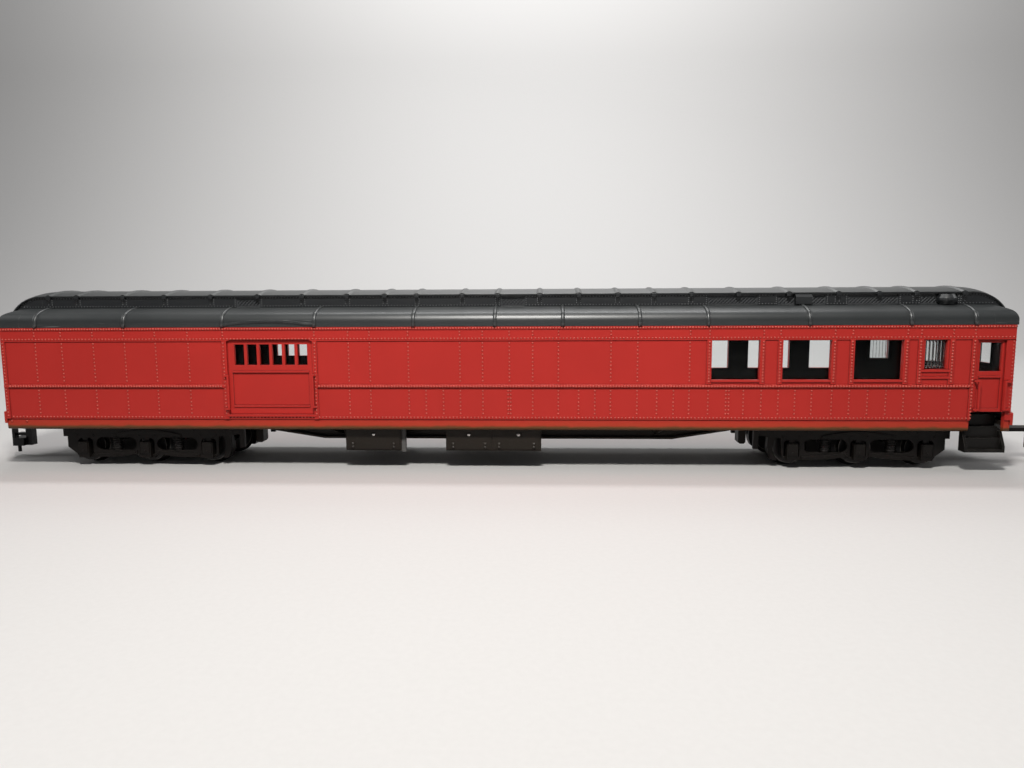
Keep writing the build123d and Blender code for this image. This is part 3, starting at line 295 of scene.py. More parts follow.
# %% [markdown]
# One recipe serves every opaque plastic: a base colour that drifts a little in clouds, dust, rubbed edges,
# and a bump of fine grain. Each plastic then says only its colours and amounts. A height can be handed in for
# a finish with a form of its own, such as the folds of the gangway.

# %% One recipe for the plastics
GRAIN_HEIGHT, GRAIN_STRENGTH, FOLD_HEIGHT = 0.004 * MM, 0.6, 0.25 * MM
DRIFT_LOW, DRIFT_HIGH, ROUGH_DRIFT = 0.35, 0.65, 0.12
HOUSE_DUST = (0.30, 0.28, 0.25, 1.0)


def plastic_surface(tree, base, rubbed, rough, dust=0.25, wear=0.5, drift=0.10, radius=0.12,
                    dust_colour=HOUSE_DUST, extra_wear=None, folds=None):
    edges = add(tree, "ShaderNodeGroup", node_tree=edge_group)
    edges.inputs["Radius"].default_value = radius * MM
    edges.inputs["Amount"].default_value = wear
    film = add(tree, "ShaderNodeGroup", node_tree=dust_group)
    film.inputs["Amount"].default_value = dust
    darker = add(tree, "ShaderNodeHueSaturation", {"Value": 1.0 - drift, "Color": base}).outputs[0]
    colour = blend_colours(tree, ramp(tree, film.outputs["Clouds"], DRIFT_LOW, DRIFT_HIGH), darker, base)
    worn = edges.outputs["Mask"]
    if extra_wear:
        worn = math_node(tree, "MAXIMUM", worn, extra_wear)
    colour = blend_colours(tree, worn, colour, rubbed)
    colour = blend_colours(tree, film.outputs["Dust"], colour, dust_colour)
    roughness = math_node(tree, "MULTIPLY_ADD", film.outputs["Clouds"], ROUGH_DRIFT, rough - ROUGH_DRIFT / 2)
    normal = edges.outputs["Normal"]
    if folds:
        folded = add(tree, "ShaderNodeBump", {"Height": folds, "Distance": FOLD_HEIGHT, "Normal": normal})
        normal = folded.outputs[0]
    bump = add(tree, "ShaderNodeBump", {"Height": film.outputs["Grain"], "Distance": GRAIN_HEIGHT,
                                        "Strength": GRAIN_STRENGTH, "Normal": normal})
    return {"Base Color": colour, "Roughness": roughness, "Normal": bump.outputs[0]}


def plastic(name, base, rubbed, rough, shine=0.2, metallic=0.0, **amounts):
    made, tree = new_material(name)
    surface = plastic_surface(tree, base, rubbed, rough, **amounts)
    return finish_material(made, surface, Specular_IOR_Level=shine, Metallic=metallic)


# %% [markdown]
# The side is sprayed red from outside. Towards the turned-under foot of the skirt the red turns orange, then
# brown. Faces inside the shell are painted near-black, a painted shade that keeps the rooms dark and deep
# through the glass. A face that looks towards the middle of the car is inside, but the jambs of a window are
# part of the outside.

# %% The sprayed red side
RED = (0.710, 0.042, 0.033, 1.0)
RED_RUBBED_AND_HIGHLIT = (0.86, 0.20, 0.15, 1.0)
SKIRT_ORANGE = (0.650, 0.072, 0.032, 1.0)
SKIRT_BROWN = (0.185, 0.075, 0.026, 1.0)
INSIDE_SHADE_BLACK = (0.006, 0.006, 0.007, 1.0)
CORNER_SHADE_RED = (0.110, 0.008, 0.008, 1.0)
WALL = 1.5
INSIDE_Y = PLATE_Y - WALL + 0.1
ORANGE_TOP, ORANGE_FULL, ORANGE_SHARE = SKIRT_Z + 4.0, SKIRT_Z + 2.0, 0.8
BROWN_TOP, BROWN_FULL = SKIRT_Z + 1.95, SKIRT_Z + 1.15
SKIRT_EDGE_WANDER, SKIRT_EDGE_SCALE = 0.9, 260.0
INWARD_STARTS, INWARD_FULL = -0.3, -0.7


def inside_mask(tree):
    x, y, _ = place_xyz(tree)
    nx, ny, _ = normal_xyz(tree)
    inward_y = times(tree, ny, math_node(tree, "SIGN", y))
    inward_x = times(tree, nx, math_node(tree, "SIGN", x))
    within = ramp(tree, math_node(tree, "ABSOLUTE", y), INSIDE_Y + 0.05, INSIDE_Y - 0.05)
    across = ramp(tree, inward_y, INWARD_STARTS, INWARD_FULL)
    along = times(tree, ramp(tree, inward_x, INWARD_STARTS, INWARD_FULL), within)
    return math_node(tree, "MAXIMUM", across, along)


def make_red(name, rubbed_and_highlight_share, radius, painted_corner_shade):
    made, tree = new_material(name)
    # towards the foot of the skirt the red turns orange, then brown, along a wandering line
    edge_z = math_node(tree, "MULTIPLY_ADD", noise(tree, SKIRT_EDGE_SCALE), SKIRT_EDGE_WANDER, place_xyz(tree)[2])
    fade = ramp(tree, edge_z, BROWN_TOP, BROWN_FULL)
    skirt_orange_mask = times(tree, ramp(tree, edge_z, ORANGE_TOP, ORANGE_FULL), ORANGE_SHARE)
    base = blend_colours(tree, rubbed_and_highlight_share, RED, RED_RUBBED_AND_HIGHLIT)
    base = blend_colours(tree, skirt_orange_mask, base, SKIRT_ORANGE)
    base = blend_colours(tree, fade, base, SKIRT_BROWN)
    # painted shade: the red darkens in corners beside belts, posts and rivets
    if painted_corner_shade:
        corners = group_outputs(tree, corner_shade_group)["Mask"]
        base = blend_colours(tree, corners, base, CORNER_SHADE_RED)
    # faces inside the shell painted near-black: painted shade for the unlit rooms
    base = blend_colours(tree, inside_mask(tree), base, INSIDE_SHADE_BLACK)
    surface = plastic_surface(tree, base, RED_RUBBED_AND_HIGHLIT, 0.44, dust=0.10, wear=0.30, drift=0.06, radius=radius)
    return finish_material(made, surface, Specular_IOR_Level=0.32)


red_paint = make_red("sprayed_red", 0.0, 0.12, True)
# rivets mixed most of the way to a pinker red: partly paint rubbed thin, partly a painted highlight
rivet_red = make_red("rubbed_and_highlit_rivet_red", 0.70, 0.03, False)

# %% [markdown]
# The roof is one satin dark grey. The upright clerestory walls are mixed darker, as painted shade: a mask
# above the lower deck, and looking sideways. The scratches lie along the eaves, where the photo shows them.

# %% The roof
ROOF_GREY = (0.027, 0.031, 0.032, 1.0)
ROOF_RUBBED = (0.20, 0.21, 0.21, 1.0)
CLERESTORY_SHADE = (0.009, 0.011, 0.013, 1.0)
ROOF_DUST = (0.16, 0.16, 0.155, 1.0)
CLER_FOOT_Z, CLER_TOP_Z = 46.4, 49.3
LEFT_SCUFF, RIGHT_SCUFF, DRIP_SCUFF = (-127.0, -112.0), (131.0, 140.5), (-72.0, -51.0)
EAVE_SCUFF_Z, DRIP_SCUFF_Z = (EAVE_Z + 0.3, EAVE_Z + 1.3), (EAVE_Z + 0.8, EAVE_Z + 1.9)
SIDEWAYS_STARTS, SIDEWAYS_FULL = 0.45, 0.25


def make_roof():
    made, tree = new_material("roof_satin_grey")
    x, _, z = place_xyz(tree)
    slope = math_node(tree, "ABSOLUTE", normal_xyz(tree)[2])
    side = ramp(tree, slope, SIDEWAYS_STARTS, SIDEWAYS_FULL)
    upright = times(tree, side, ramp(tree, z, deck_high.z - 0.3, deck_high.z - 0.1))
    wall = between(tree, z, CLER_FOOT_Z, CLER_TOP_Z, 0.2)
    # the upright clerestory walls mixed darker: painted shade
    base = blend_colours(tree, math_node(tree, "MAXIMUM", upright, wall), ROOF_GREY, CLERESTORY_SHADE)
    lines = group_outputs(tree, scratch_group)["Mask"]
    ends = math_node(tree, "ADD", between(tree, x, *LEFT_SCUFF, 3.0), between(tree, x, *RIGHT_SCUFF, 2.0))
    eave = times(tree, between(tree, z, *EAVE_SCUFF_Z, 0.15), ends)
    drip = times(tree, between(tree, x, *DRIP_SCUFF, 2.0), between(tree, z, *DRIP_SCUFF_Z, 0.15))
    scuffed = times(tree, lines, math_node(tree, "MAXIMUM", eave, drip))
    surface = plastic_surface(tree, base, ROOF_RUBBED, 0.40, dust=0.14, wear=0.60, extra_wear=scuffed,
                              dust_colour=ROOF_DUST)
    return finish_material(made, surface, Specular_IOR_Level=1.0)


roof_paint = make_roof()

# %% [markdown]
# Underframe, trucks, steps and couplers are bare black plastic, each with its own cast: the underframe is a
# little brown, the trucks almost black. The wires of the screens are a rubbed grey. The rivets of the roof
# are a lighter grey than the roof: partly rubbed, partly a painted highlight. The gangway frame at each end
# has fine upright folds, a sine wave along X, bumped only where the face looks sideways.

# %% The black plastics
frame_black = plastic("underframe_brown_black", (0.030, 0.024, 0.019, 1), (0.085, 0.072, 0.060, 1), 0.45,
                      dust=0.25, wear=0.55)
truck_black = plastic("truck_brown_black", (0.010, 0.008, 0.007, 1), (0.045, 0.038, 0.031, 1), 0.46,
                      dust=0.12)
coupler_black = plastic("coupler_black", (0.014, 0.014, 0.016, 1), (0.050, 0.050, 0.050, 1), 0.34, dust=0.12)
step_black = plastic("step_black", (0.012, 0.011, 0.010, 1), (0.130, 0.120, 0.105, 1), 0.42,
                     dust=0.18, wear=0.9)
screen_wire = plastic("screen_wire", (0.085, 0.090, 0.095, 1), (0.240, 0.245, 0.250, 1), 0.42,
                      dust=0.15, wear=0.8, radius=0.04, shine=0.5)
# rivets far lighter than the roof: partly rubbed, partly a painted highlight
rivet_grey = plastic("rubbed_and_highlit_rivet_grey", (0.200, 0.206, 0.212, 1), (0.340, 0.345, 0.350, 1), 0.34,
                     dust=0.10, wear=0.6, radius=0.03, shine=0.5)
FOLD_PITCH = 0.55


def make_gangway():
    made, tree = new_material("gangway_black")
    folds = math_node(tree, "SINE", times(tree, place_xyz(tree)[0], 2 * math.pi / FOLD_PITCH))
    side = ramp(tree, math_node(tree, "ABSOLUTE", normal_xyz(tree)[0]), 0.6, 0.3)
    surface = plastic_surface(tree, (0.018, 0.017, 0.017, 1), (0.060, 0.060, 0.058, 1), 0.55, dust=0.3,
                              folds=times(tree, folds, side))
    return finish_material(made, surface, Specular_IOR_Level=0.2)


gangway_black = make_gangway()

# %% [markdown]
# The wheels are black plastic too, but glossier, and their treads are worn bright. The bright ring is a mask
# by the distance from the axle. All axles of a truck stand evenly apart, so X, wrapped by that distance,
# serves the three of them, and the absolute value of X serves both trucks.

# %% Wheels with bright treads
TREAD_R = 4.5
BRIGHT_LOW, BRIGHT_HIGH = TREAD_R - 0.10, TREAD_R + 0.15
WORN_SCALE, WORN_LOW, WORN_HIGH = 900.0, 0.28, 0.55
WHEEL_BLACK, WHEEL_RUBBED = (0.016, 0.015, 0.015, 1.0), (0.05, 0.05, 0.05, 1.0)
TREAD_METAL = (0.16, 0.15, 0.14, 1.0)


def make_wheel():
    made, tree = new_material("wheel_black_bright_tread")
    x, _, z = place_xyz(tree)
    along = math_node(tree, "SUBTRACT", math_node(tree, "ABSOLUTE", x), TRUCK_X)
    from_axle = math_node(tree, "WRAP", along, AXLE_SPACING / 2, -AXLE_SPACING / 2)
    height = math_node(tree, "SUBTRACT", z, AXLE_Z)
    squares = math_node(tree, "ADD", times(tree, from_axle, from_axle), times(tree, height, height))
    rim = between(tree, math_node(tree, "SQRT", squares), BRIGHT_LOW, BRIGHT_HIGH, 0.05)
    bright = times(tree, rim, ramp(tree, noise(tree, WORN_SCALE, 3.0), WORN_LOW, WORN_HIGH))
    surface = plastic_surface(tree, WHEEL_BLACK, WHEEL_RUBBED, 0.33, dust=0.2, wear=0.4)
    surface["Base Color"] = blend_colours(tree, bright, surface["Base Color"], TREAD_METAL)
    surface["Metallic"] = times(tree, bright, 0.9)
    return finish_material(made, surface, Specular_IOR_Level=0.3)


wheel_black = make_wheel()

# %% [markdown]
# The king pins and the box screws are plain steel, which is metallic, so that its colour shows in its
# reflections. The drain pipe is a grey moulding, and the coil springs are a black that handling has rubbed.
# The clip pins are a lighter, rubbed black: partly wear, partly a painted glint.

# %% Screws, drain, pins and springs
steel = plastic("screw_steel", (0.62, 0.61, 0.59, 1), (0.78, 0.76, 0.74, 1), 0.26,
                dust=0.08, wear=0.6, shine=0.5, metallic=1.0)
drain_grey = plastic("drain_grey", (0.17, 0.165, 0.16, 1), (0.30, 0.29, 0.27, 1), 0.50, dust=0.15, wear=0.3)
# pins lighter than the boxes: partly rubbed, partly a painted glint
pin_black = plastic("clip_pin_black_with_painted_glint", (0.09, 0.08, 0.07, 1), (0.22, 0.20, 0.18, 1), 0.30,
                    dust=0.1, wear=0.7, radius=0.04, shine=0.6)
spring_black = plastic("spring_black", (0.022, 0.020, 0.019, 1), (0.10, 0.095, 0.09, 1), 0.30,
                       dust=0.1, wear=0.6, radius=0.05)

# %% [markdown]
# The glazing is clear plastic pressed in from behind, with a few hazy specks. The Principled shader does this
# with full transmission; the haze is only more roughness, in small spots. The flat panes have a lower index
# of refraction than real clear plastic: they mirror less of the pale room, so the rooms behind stay dark.

# %% Clear glazing
HAZE_LOW, HAZE_HIGH = 0.60, 0.72


def make_glass(name, tint, rough, specks, ior):
    made, tree = new_material(name)
    grain = group_outputs(tree, dust_group)["Grain"]
    haze = times(tree, ramp(tree, grain, HAZE_LOW, HAZE_HIGH), specks)
    roughness = math_node(tree, "ADD", haze, rough)
    return finish_material(made, {"Roughness": roughness}, Base_Color=tint, IOR=ior, Transmission_Weight=1.0,
                           Specular_IOR_Level=0.06)


clear = make_glass("clear_glazing", (0.94, 0.95, 0.95, 1.0), 0.0, 0.12, 1.22)
fluted = make_glass("fluted_glazing", (0.88, 0.90, 0.90, 1.0), 0.03, 0.10, 1.46)

# %% [markdown]
# Each node of the frame now takes its finish. The frame's meshes are never edited: only the material in their
# slot changes. Most nodes follow their material slot; a few that share a slot but look different are named
# one by one.

# %% Finishes for the frame's nodes
SLOT_FINISHES = {"body_red": red_paint, "roof_grey": roof_paint, "clerestory_black": screen_wire,
                 "underframe_black": frame_black, "truck_black": truck_black, "wheel_black": wheel_black,
                 "coupler_black": coupler_black, "screw_steel": steel, "window_glass": clear,
                 "fluted_glass": fluted}
NODE_FINISHES = {"diaphragms": gangway_black, "vestibule_steps": step_black, "drain_pipes": drain_grey}


def dress(piece, material):
    piece.data.materials.clear()
    piece.data.materials.append(material)


for part in frame["record"]["subparts"]:
    chosen = NODE_FINISHES.get(part["node"], SLOT_FINISHES[part["material_slot"]])
    dress(nodes[part["node"]], chosen)

# %% [markdown]
# Everything from here on is small: heads, wires, coils and flutes. Each is shaped with bmesh operators, put
# into the scene as one mesh and made to ride on the body that carries it, so that it follows every pose. One
# helper does that last part for all of them.

# %% Helpers for new pieces
def link_mesh(name, mesh):
    made = bpy.data.objects.new(name, mesh)
    scene.collection.objects.link(made)
    return made


def seat_piece(name, mesh, material, body="car_body"):
    made = link_mesh(name, mesh)
    dress(made, material)
    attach(made, body)
    print(name, "triangles:", sum(len(f.vertices) - 2 for f in mesh.polygons))
    return made


def plain_mesh(name, bm):
    mesh = bpy.data.meshes.new(name)
    bm.to_mesh(mesh)
    bm.free()
    return mesh


def mesh_from(name, bm):
    bmesh.ops.recalc_face_normals(bm, faces=bm.faces)
    return plain_mesh(name, bm)


UPRIGHT = Matrix.Rotation(math.radians(90), 4, "X")


def put_block(bm, centre, size, turn=None):
    # a block of a size in millimetres, turned about its own centre
    scaled = Matrix.Diagonal((*[s * MM for s in size], 1.0))
    matrix = Matrix.Translation(Vector(centre) * MM) @ (turn or Matrix.Identity(4)) @ scaled
    return bmesh.ops.create_cube(bm, size=1.0, matrix=matrix)["verts"]


def verts_of(geometry):
    return [g for g in geometry if isinstance(g, bmesh.types.BMVert)]


def edges_of(geometry):
    return [g for g in geometry if isinstance(g, bmesh.types.BMEdge)]


def edges_round(verts):
    return list({e for v in verts for e in v.link_edges})


def shade_smooth(mesh):
    for f in mesh.polygons:
        f.use_smooth = True
    return mesh


def evenly(first, last, pitch):
    count = max(1, round((last - first) / pitch))
    return [first + (last - first) * i / count for i in range(count + 1)]


# %% [markdown]
# Rivets are what this car is known for: about two thousand heads on each side. A rivet is a small dome, made
# from a sphere cut in half. A bolt head is a low six-sided block with a bevelled rim. A geometry node group
# sets a copy on every point of a cloud of points, turned to face out of the wall. The copies are made real
# and joined, because the finished piece has to be a plain mesh.

# %% One rivet head, one bolt head
# heads have a radius of 1 and get their real one when they are set, with their feet a little in the wall
RIVET_RISE, RIVET_SINK = 0.85, 0.08
BOLT_RISE, BOLT_SINK, BOLT_BEVEL = 0.7, 0.1, 0.22


def make_rivet(name, height):
    bm = bmesh.new()
    bmesh.ops.create_uvsphere(bm, u_segments=8, v_segments=6, radius=1.0)
    cut = bmesh.ops.bisect_plane(bm, geom=bm.verts[:] + bm.edges[:] + bm.faces[:], dist=1e-4,
                                 plane_co=(0, 0, 0), plane_no=(0, 0, 1), clear_inner=True)
    bmesh.ops.holes_fill(bm, edges=edges_of(cut["geom_cut"]), sides=0)
    bmesh.ops.scale(bm, vec=(1, 1, height), verts=bm.verts)
    bmesh.ops.translate(bm, vec=(0, 0, -RIVET_SINK), verts=bm.verts)
    for f in bm.faces:
        f.smooth = f.normal.z > -0.5
    return link_mesh(name, mesh_from(name, bm))


def make_bolt(name, height):
    bm = bmesh.new()
    lift = Matrix.Translation((0, 0, (height - BOLT_SINK) / 2))
    bmesh.ops.create_cone(bm, cap_ends=True, segments=6, radius1=1.0, radius2=1.0,
                          depth=height + BOLT_SINK, matrix=lift)
    top = [e for e in bm.edges if all(v.co.z > height / 2 for v in e.verts)]
    bmesh.ops.bevel(bm, geom=top, offset=BOLT_BEVEL, segments=1, profile=0.5, affect="EDGES", material=-1)
    return link_mesh(name, mesh_from(name, bm))


# %% A node group that sets a head on every point
def make_setting_group():
    group = bpy.data.node_groups.new("set_on_points", "GeometryNodeTree")
    for name, way, kind in (("Points", "INPUT", "Geometry"), ("Head", "INPUT", "Object"),
                            ("Result", "OUTPUT", "Geometry")):
        group.interface.new_socket(name, in_out=way, socket_type="NodeSocket" + kind)
    given = add(group, "NodeGroupInput")
    head = add(group, "GeometryNodeObjectInfo", {"Object": given.outputs["Head"]}).outputs["Geometry"]
    facing = add(group, "GeometryNodeInputNamedAttribute", {"Name": "facing"}, data_type="FLOAT_VECTOR")
    size = add(group, "GeometryNodeInputNamedAttribute", {"Name": "size"}, data_type="FLOAT")
    turn = add(group, "FunctionNodeAlignRotationToVector", {"Vector": facing.outputs["Attribute"]}, axis="Z")
    copies = add(group, "GeometryNodeInstanceOnPoints",
                 {"Points": given.outputs["Points"], "Instance": head, "Rotation": turn.outputs["Rotation"],
                  "Scale": size.outputs["Attribute"]})
    real = add(group, "GeometryNodeRealizeInstances", {"Geometry": copies.outputs["Instances"]})
    add(group, "NodeGroupOutput", {"Result": real.outputs["Geometry"]})
    return group


setting_group = make_setting_group()
dome = make_rivet("rivet_dome", RIVET_RISE)
bolt = make_bolt("bolt_head", BOLT_RISE)


def set_heads(name, places, material, body="car_body", head=dome):
    # places: (point in millimetres, direction out of the surface, radius in millimetres)
    bm = bmesh.new()
    facing = bm.verts.layers.float_vector.new("facing")
    size = bm.verts.layers.float.new("size")
    for point, out, radius in places:
        vert = bmesh.ops.create_vert(bm, co=Vector(point) * MM)["vert"][0]
        vert[facing] = out
        vert[size] = radius * MM
    cloud = link_mesh(name + "_points", plain_mesh(name + "_points", bm))
    setting = cloud.modifiers.new("setting", "NODES")
    setting.node_group = setting_group
    ids = {item.name: item.identifier for item in setting_group.interface.items_tree}
    setting[ids["Head"]] = head
    bpy.context.view_layer.update()
    seen = cloud.evaluated_get(bpy.context.evaluated_depsgraph_get())
    mesh = bpy.data.meshes.new_from_object(seen)
    bpy.data.objects.remove(cloud)
    print(name, "heads:", len(places))
    return seat_piece(name, mesh, material, body)


def flip_y(places):
    return [((p[0], -p[1], p[2]), (o[0], -o[1], o[2]), r) for p, o, r in places]


def flip_x(places):
    return [((-p[0], p[1], p[2]), (-o[0], o[1], o[2]), r) for p, o, r in places]


# %% [markdown]
# The rivet lines of the side follow the plates of the full-size car. Rows run along the eave, the
# letterboard, the belt and the sill; columns run where two plates meet. The columns stand at uneven distances
# read off the photo. The rows and the spaces in a column are even, and a function divides them.

# %% Where the side rivets sit
COLUMNS = [-130.3, -122.6, -113.4, -104.3, -95.4, -86.0, -40.5, -34.5, -23.7, -9.3, -3.0, 10.9, 18.0, 32.4,
           39.7, 53.9]
UPPER_ONLY = [4.45]
LOWER_ONLY = [-18.9, -14.05, 4.05, 4.75, 23.6, 28.1, 45.1, 49.65, 59.1, 63.95, 64.75, 68.7, 73.5, 78.1, 82.6,
              87.1, 92.5, 97.2, 102.1, 107.0, 111.7, 116.0, 124.0]
WINDOW_POSTS = [59.15, 73.7, 78.2, 92.7, 97.4, 111.9, 115.5, 123.9]
DOOR_JAMBS = [-75.93, -50.0]
CORNER_POST, VESTIBULE_POST, LAST_COLUMN = -139.75, 129.6, 139.9
FINE, COMMON, LARGE, BELT_HEAD = 0.21, 0.25, 0.30, 0.33
CLOSE, MEDIUM, WIDE = 0.79, 0.86, 0.97
EAVE_ROW, BOARD_ROW, BELT_ROW, SILL_ROW = 40.2, 37.4, 24.05, 15.25
BOARD_PAIR = (38.35, 39.25)
POST_TOP = 36.2
ROW_LEFT, ROW_RIGHT = -138.4, 128.7
BELT_STOPS = (-77.0, -49.0)

# a row along the side: its height, left end, right end, pitch, how far its strip stands proud, and its radius
SIDE_ROWS = [
    (EAVE_ROW, -139.9, 139.9, CLOSE, STRIP_PROUD, LARGE),
    (BOARD_ROW, -139.6, 139.6, WIDE, BOARD_PROUD, COMMON),
    (BELT_ROW, ROW_LEFT, BELT_STOPS[0], CLOSE, BELT_PROUD, BELT_HEAD),
    (BELT_ROW, BELT_STOPS[1], ROW_RIGHT, CLOSE, BELT_PROUD, BELT_HEAD),
    (SILL_ROW, ROW_LEFT, ROW_RIGHT, 1.0, 0.0, COMMON),
]

# columns: their X places, foot, top, pitch, how far their strip stands proud, and their radius
BOARD_COLUMNS = COLUMNS + UPPER_ONLY + WINDOW_POSTS + DOOR_JAMBS + [VESTIBULE_POST]
SIDE_COLUMNS = [
    (COLUMNS + UPPER_ONLY, 25.6, 36.1, 1.03, 0.0, COMMON),
    (WINDOW_POSTS, 25.4, POST_TOP, MEDIUM, POST_PROUD, LARGE),
    (BOARD_COLUMNS, *BOARD_PAIR, 0.9, BOARD_PROUD, COMMON),
    (COLUMNS + LOWER_ONLY, 16.4, 22.8, 1.05, 0.0, COMMON),
    ([VESTIBULE_POST], 15.3, 36.3, MEDIUM, POST_PROUD, LARGE),
    (DOOR_JAMBS, 16.3, POST_TOP, 1.0, POST_PROUD, COMMON),
    ([CORNER_POST], 15.6, POST_TOP, 0.95, POST_PROUD, COMMON),
    ([LAST_COLUMN], 16.5, POST_TOP, 0.95, 0.0, FINE),
]

# two screw heads low on the left corner, let a little into the skirt
SKIRT_SCREWS, SKIRT_SCREW_Z, SKIRT_SCREW_R, SKIRT_SCREW_BACK = (-139.2, -134.7), 13.9, 0.32, 0.25


def side_places():
    found = []

    def put(x, z, proud, radius):
        found.append(((x, -PLATE_Y - proud, z), (0, -1, 0), radius))

    for z, left, right, pitch, proud, radius in SIDE_ROWS:
        for x in evenly(left, right, pitch):
            put(x, z, proud, radius)
    for columns, foot, top, pitch, proud, radius in SIDE_COLUMNS:
        for x in columns:
            for z in evenly(foot, top, pitch):
                put(x, z, proud, radius)
    for x in SKIRT_SCREWS:
        put(x, SKIRT_SCREW_Z, -SKIRT_SCREW_BACK, SKIRT_SCREW_R)
    return found


near_side = side_places()
set_heads("rivets_near_side", near_side, rivet_red)
set_heads("rivets_far_side", flip_y(near_side), rivet_red)

# %% [markdown]
# The ends are bowed: in plan each is an arc. A rivet there faces out along the radius of that arc, so its
# place and its direction come from one angle. The rows of the sides carry on round the end, and columns stand
# at the corners and beside the gangway.

# %% Rivets on the bowed ends
BOW_R = (PLATE_Y ** 2 + BOW_DEPTH ** 2) / (2 * BOW_DEPTH)
BOW_X = BODY_HALF + BOW_DEPTH - BOW_R
GANGWAY_EDGE, END_MIDDLE, END_CORNER = 7.5, 12.1, 16.9
END_FOOT, END_TOP, END_SILL_ROW = 18.4, 36.4, 17.4
EAVE_FROM, EAVE_TO = 0.4, 17.2


def on_bow(y, z, radius):
    angle = math.asin(y / BOW_R)
    out = (math.cos(angle), math.sin(angle), 0.0)
    return (BOW_X + BOW_R * out[0], BOW_R * out[1], z), out, radius


def end_places():
    found = []
    for side in (-1, 1):
        for y in evenly(GANGWAY_EDGE, END_CORNER, WIDE):
            found.append(on_bow(side * y, BOARD_ROW, COMMON))
            found.append(on_bow(side * y, END_SILL_ROW, COMMON))
        for y in evenly(EAVE_FROM, EAVE_TO, CLOSE):
            found.append(on_bow(side * y, EAVE_ROW, LARGE))
        for y in (GANGWAY_EDGE, END_MIDDLE, END_CORNER):
            for z in evenly(END_FOOT, END_TOP, 1.0):
                found.append(on_bow(side * y, z, COMMON))
    return found


end_rivets = end_places()
set_heads("rivets_vestibule_end", end_rivets, rivet_red)
set_heads("rivets_baggage_end", flip_x(end_rivets), rivet_red)

# %% [markdown]
# The clerestory walls carry finer rivets: a row at the foot and one under the upper deck, and a column below
# each roof rib. At both ends the hood turns down in an arc, and the upper row follows it. The rows stop for
# the screens.

# %% Rivets on the clerestory
CLER_Y = 10.0
SCREENS = [(-71.25, 6.9), (5.15, 6.7), (67.0, 13.8), (86.05, 13.1), (105.65, 13.7), (123.5, 9.8)]
ROOF_RIBS = [-130.1, -121.7, -107.9, -95.7, -82.0, -68.3, -55.3, -42.3, -31.4, -22.2, -9.2, 0.9, 12.8, 23.8,
             34.8, 44.9, 55.3, 68.3, 82.2, 95.8, 106.9, 117.0, 130.0]
HOOD_X, HOOD_Z, HOOD_EDGE_R = 132.5, 38.85, 10.05
HOOD_FROM, HOOD_TO, HOOD_STEP = 2.0, 39.0, 4.6
ROW_LOW, ROW_HIGH, ROW_REACH = 46.45, 48.80, 138.0
RIB_FOOT, RIB_TOP, RIB_SIDE, RIB_PITCH = 47.05, 48.25, 0.55, 0.60
SCREEN_GAP, SCREEN_SIDE, SCREEN_PITCH = 0.35, 0.45, 0.58
SMALL = 0.16


def clear_of_screens(x):
    return all(abs(x - middle) > width / 2 + SCREEN_GAP for middle, width in SCREENS)


def clerestory_places():
    found = []

    def put(x, z):
        found.append(((x, -CLER_Y, z), (0, -1, 0), SMALL))

    for x in evenly(-ROW_REACH, ROW_REACH, MEDIUM):
        if clear_of_screens(x):
            put(x, ROW_LOW)
            if abs(x) < HOOD_X:
                put(x, ROW_HIGH)
    for rib in ROOF_RIBS:
        for x in (rib - RIB_SIDE, rib + RIB_SIDE):
            if clear_of_screens(x):
                for z in evenly(RIB_FOOT, RIB_TOP, RIB_PITCH):
                    put(x, z)
    for middle, width in SCREENS:
        for x in (middle - width / 2 - SCREEN_SIDE, middle + width / 2 + SCREEN_SIDE):
            for z in evenly(ROW_LOW, ROW_HIGH, SCREEN_PITCH):
                put(x, z)
    for angle in evenly(HOOD_FROM, HOOD_TO, HOOD_STEP):
        reach = math.radians(angle)
        for end in (-1, 1):
            put(end * (HOOD_X + HOOD_EDGE_R * math.sin(reach)), HOOD_Z + HOOD_EDGE_R * math.cos(reach))
    return found


clerestory = clerestory_places()
clerestory += flip_y(clerestory)
set_heads("rivets_clerestory", clerestory, rivet_grey)

# %% [markdown]
# The ribs of the lower deck are rounded on the real toy and catch a spark of light each. The frame has them
# as flat strips, so a soft bead is laid over each strip, in section a flat oval. The section starts at the
# eave, rises straight, and is spun round the two arcs of the deck, one after the other. The arcs are worked
# out from the deck's own box.

# %% Beads over the deck ribs
DECK_RIBS = (-129.7, -104.1, -75.9, -49.8, -22.1, 0.5, 19.2, 40.2, 58.7, 85.8, 112.6, 129.5)
BEAD_HALF, BEAD_PROUD, STRIP_RISE = 0.55, 0.36, 0.25
CORNER_R, CORNER_TURN = 3.0, math.radians(65)
deck_half, deck_top = deck_high.y - STRIP_RISE, deck_high.z - STRIP_RISE
knee_y = deck_half - CORNER_R + CORNER_R * math.cos(CORNER_TURN)
TOP_R = (knee_y - CLER_Y) / math.cos(CORNER_TURN)
knee_z = deck_top - TOP_R * (1 - math.sin(CORNER_TURN))
corner_z = knee_z - CORNER_R * math.sin(CORNER_TURN)
bead_foot = deck_low.z + 0.1


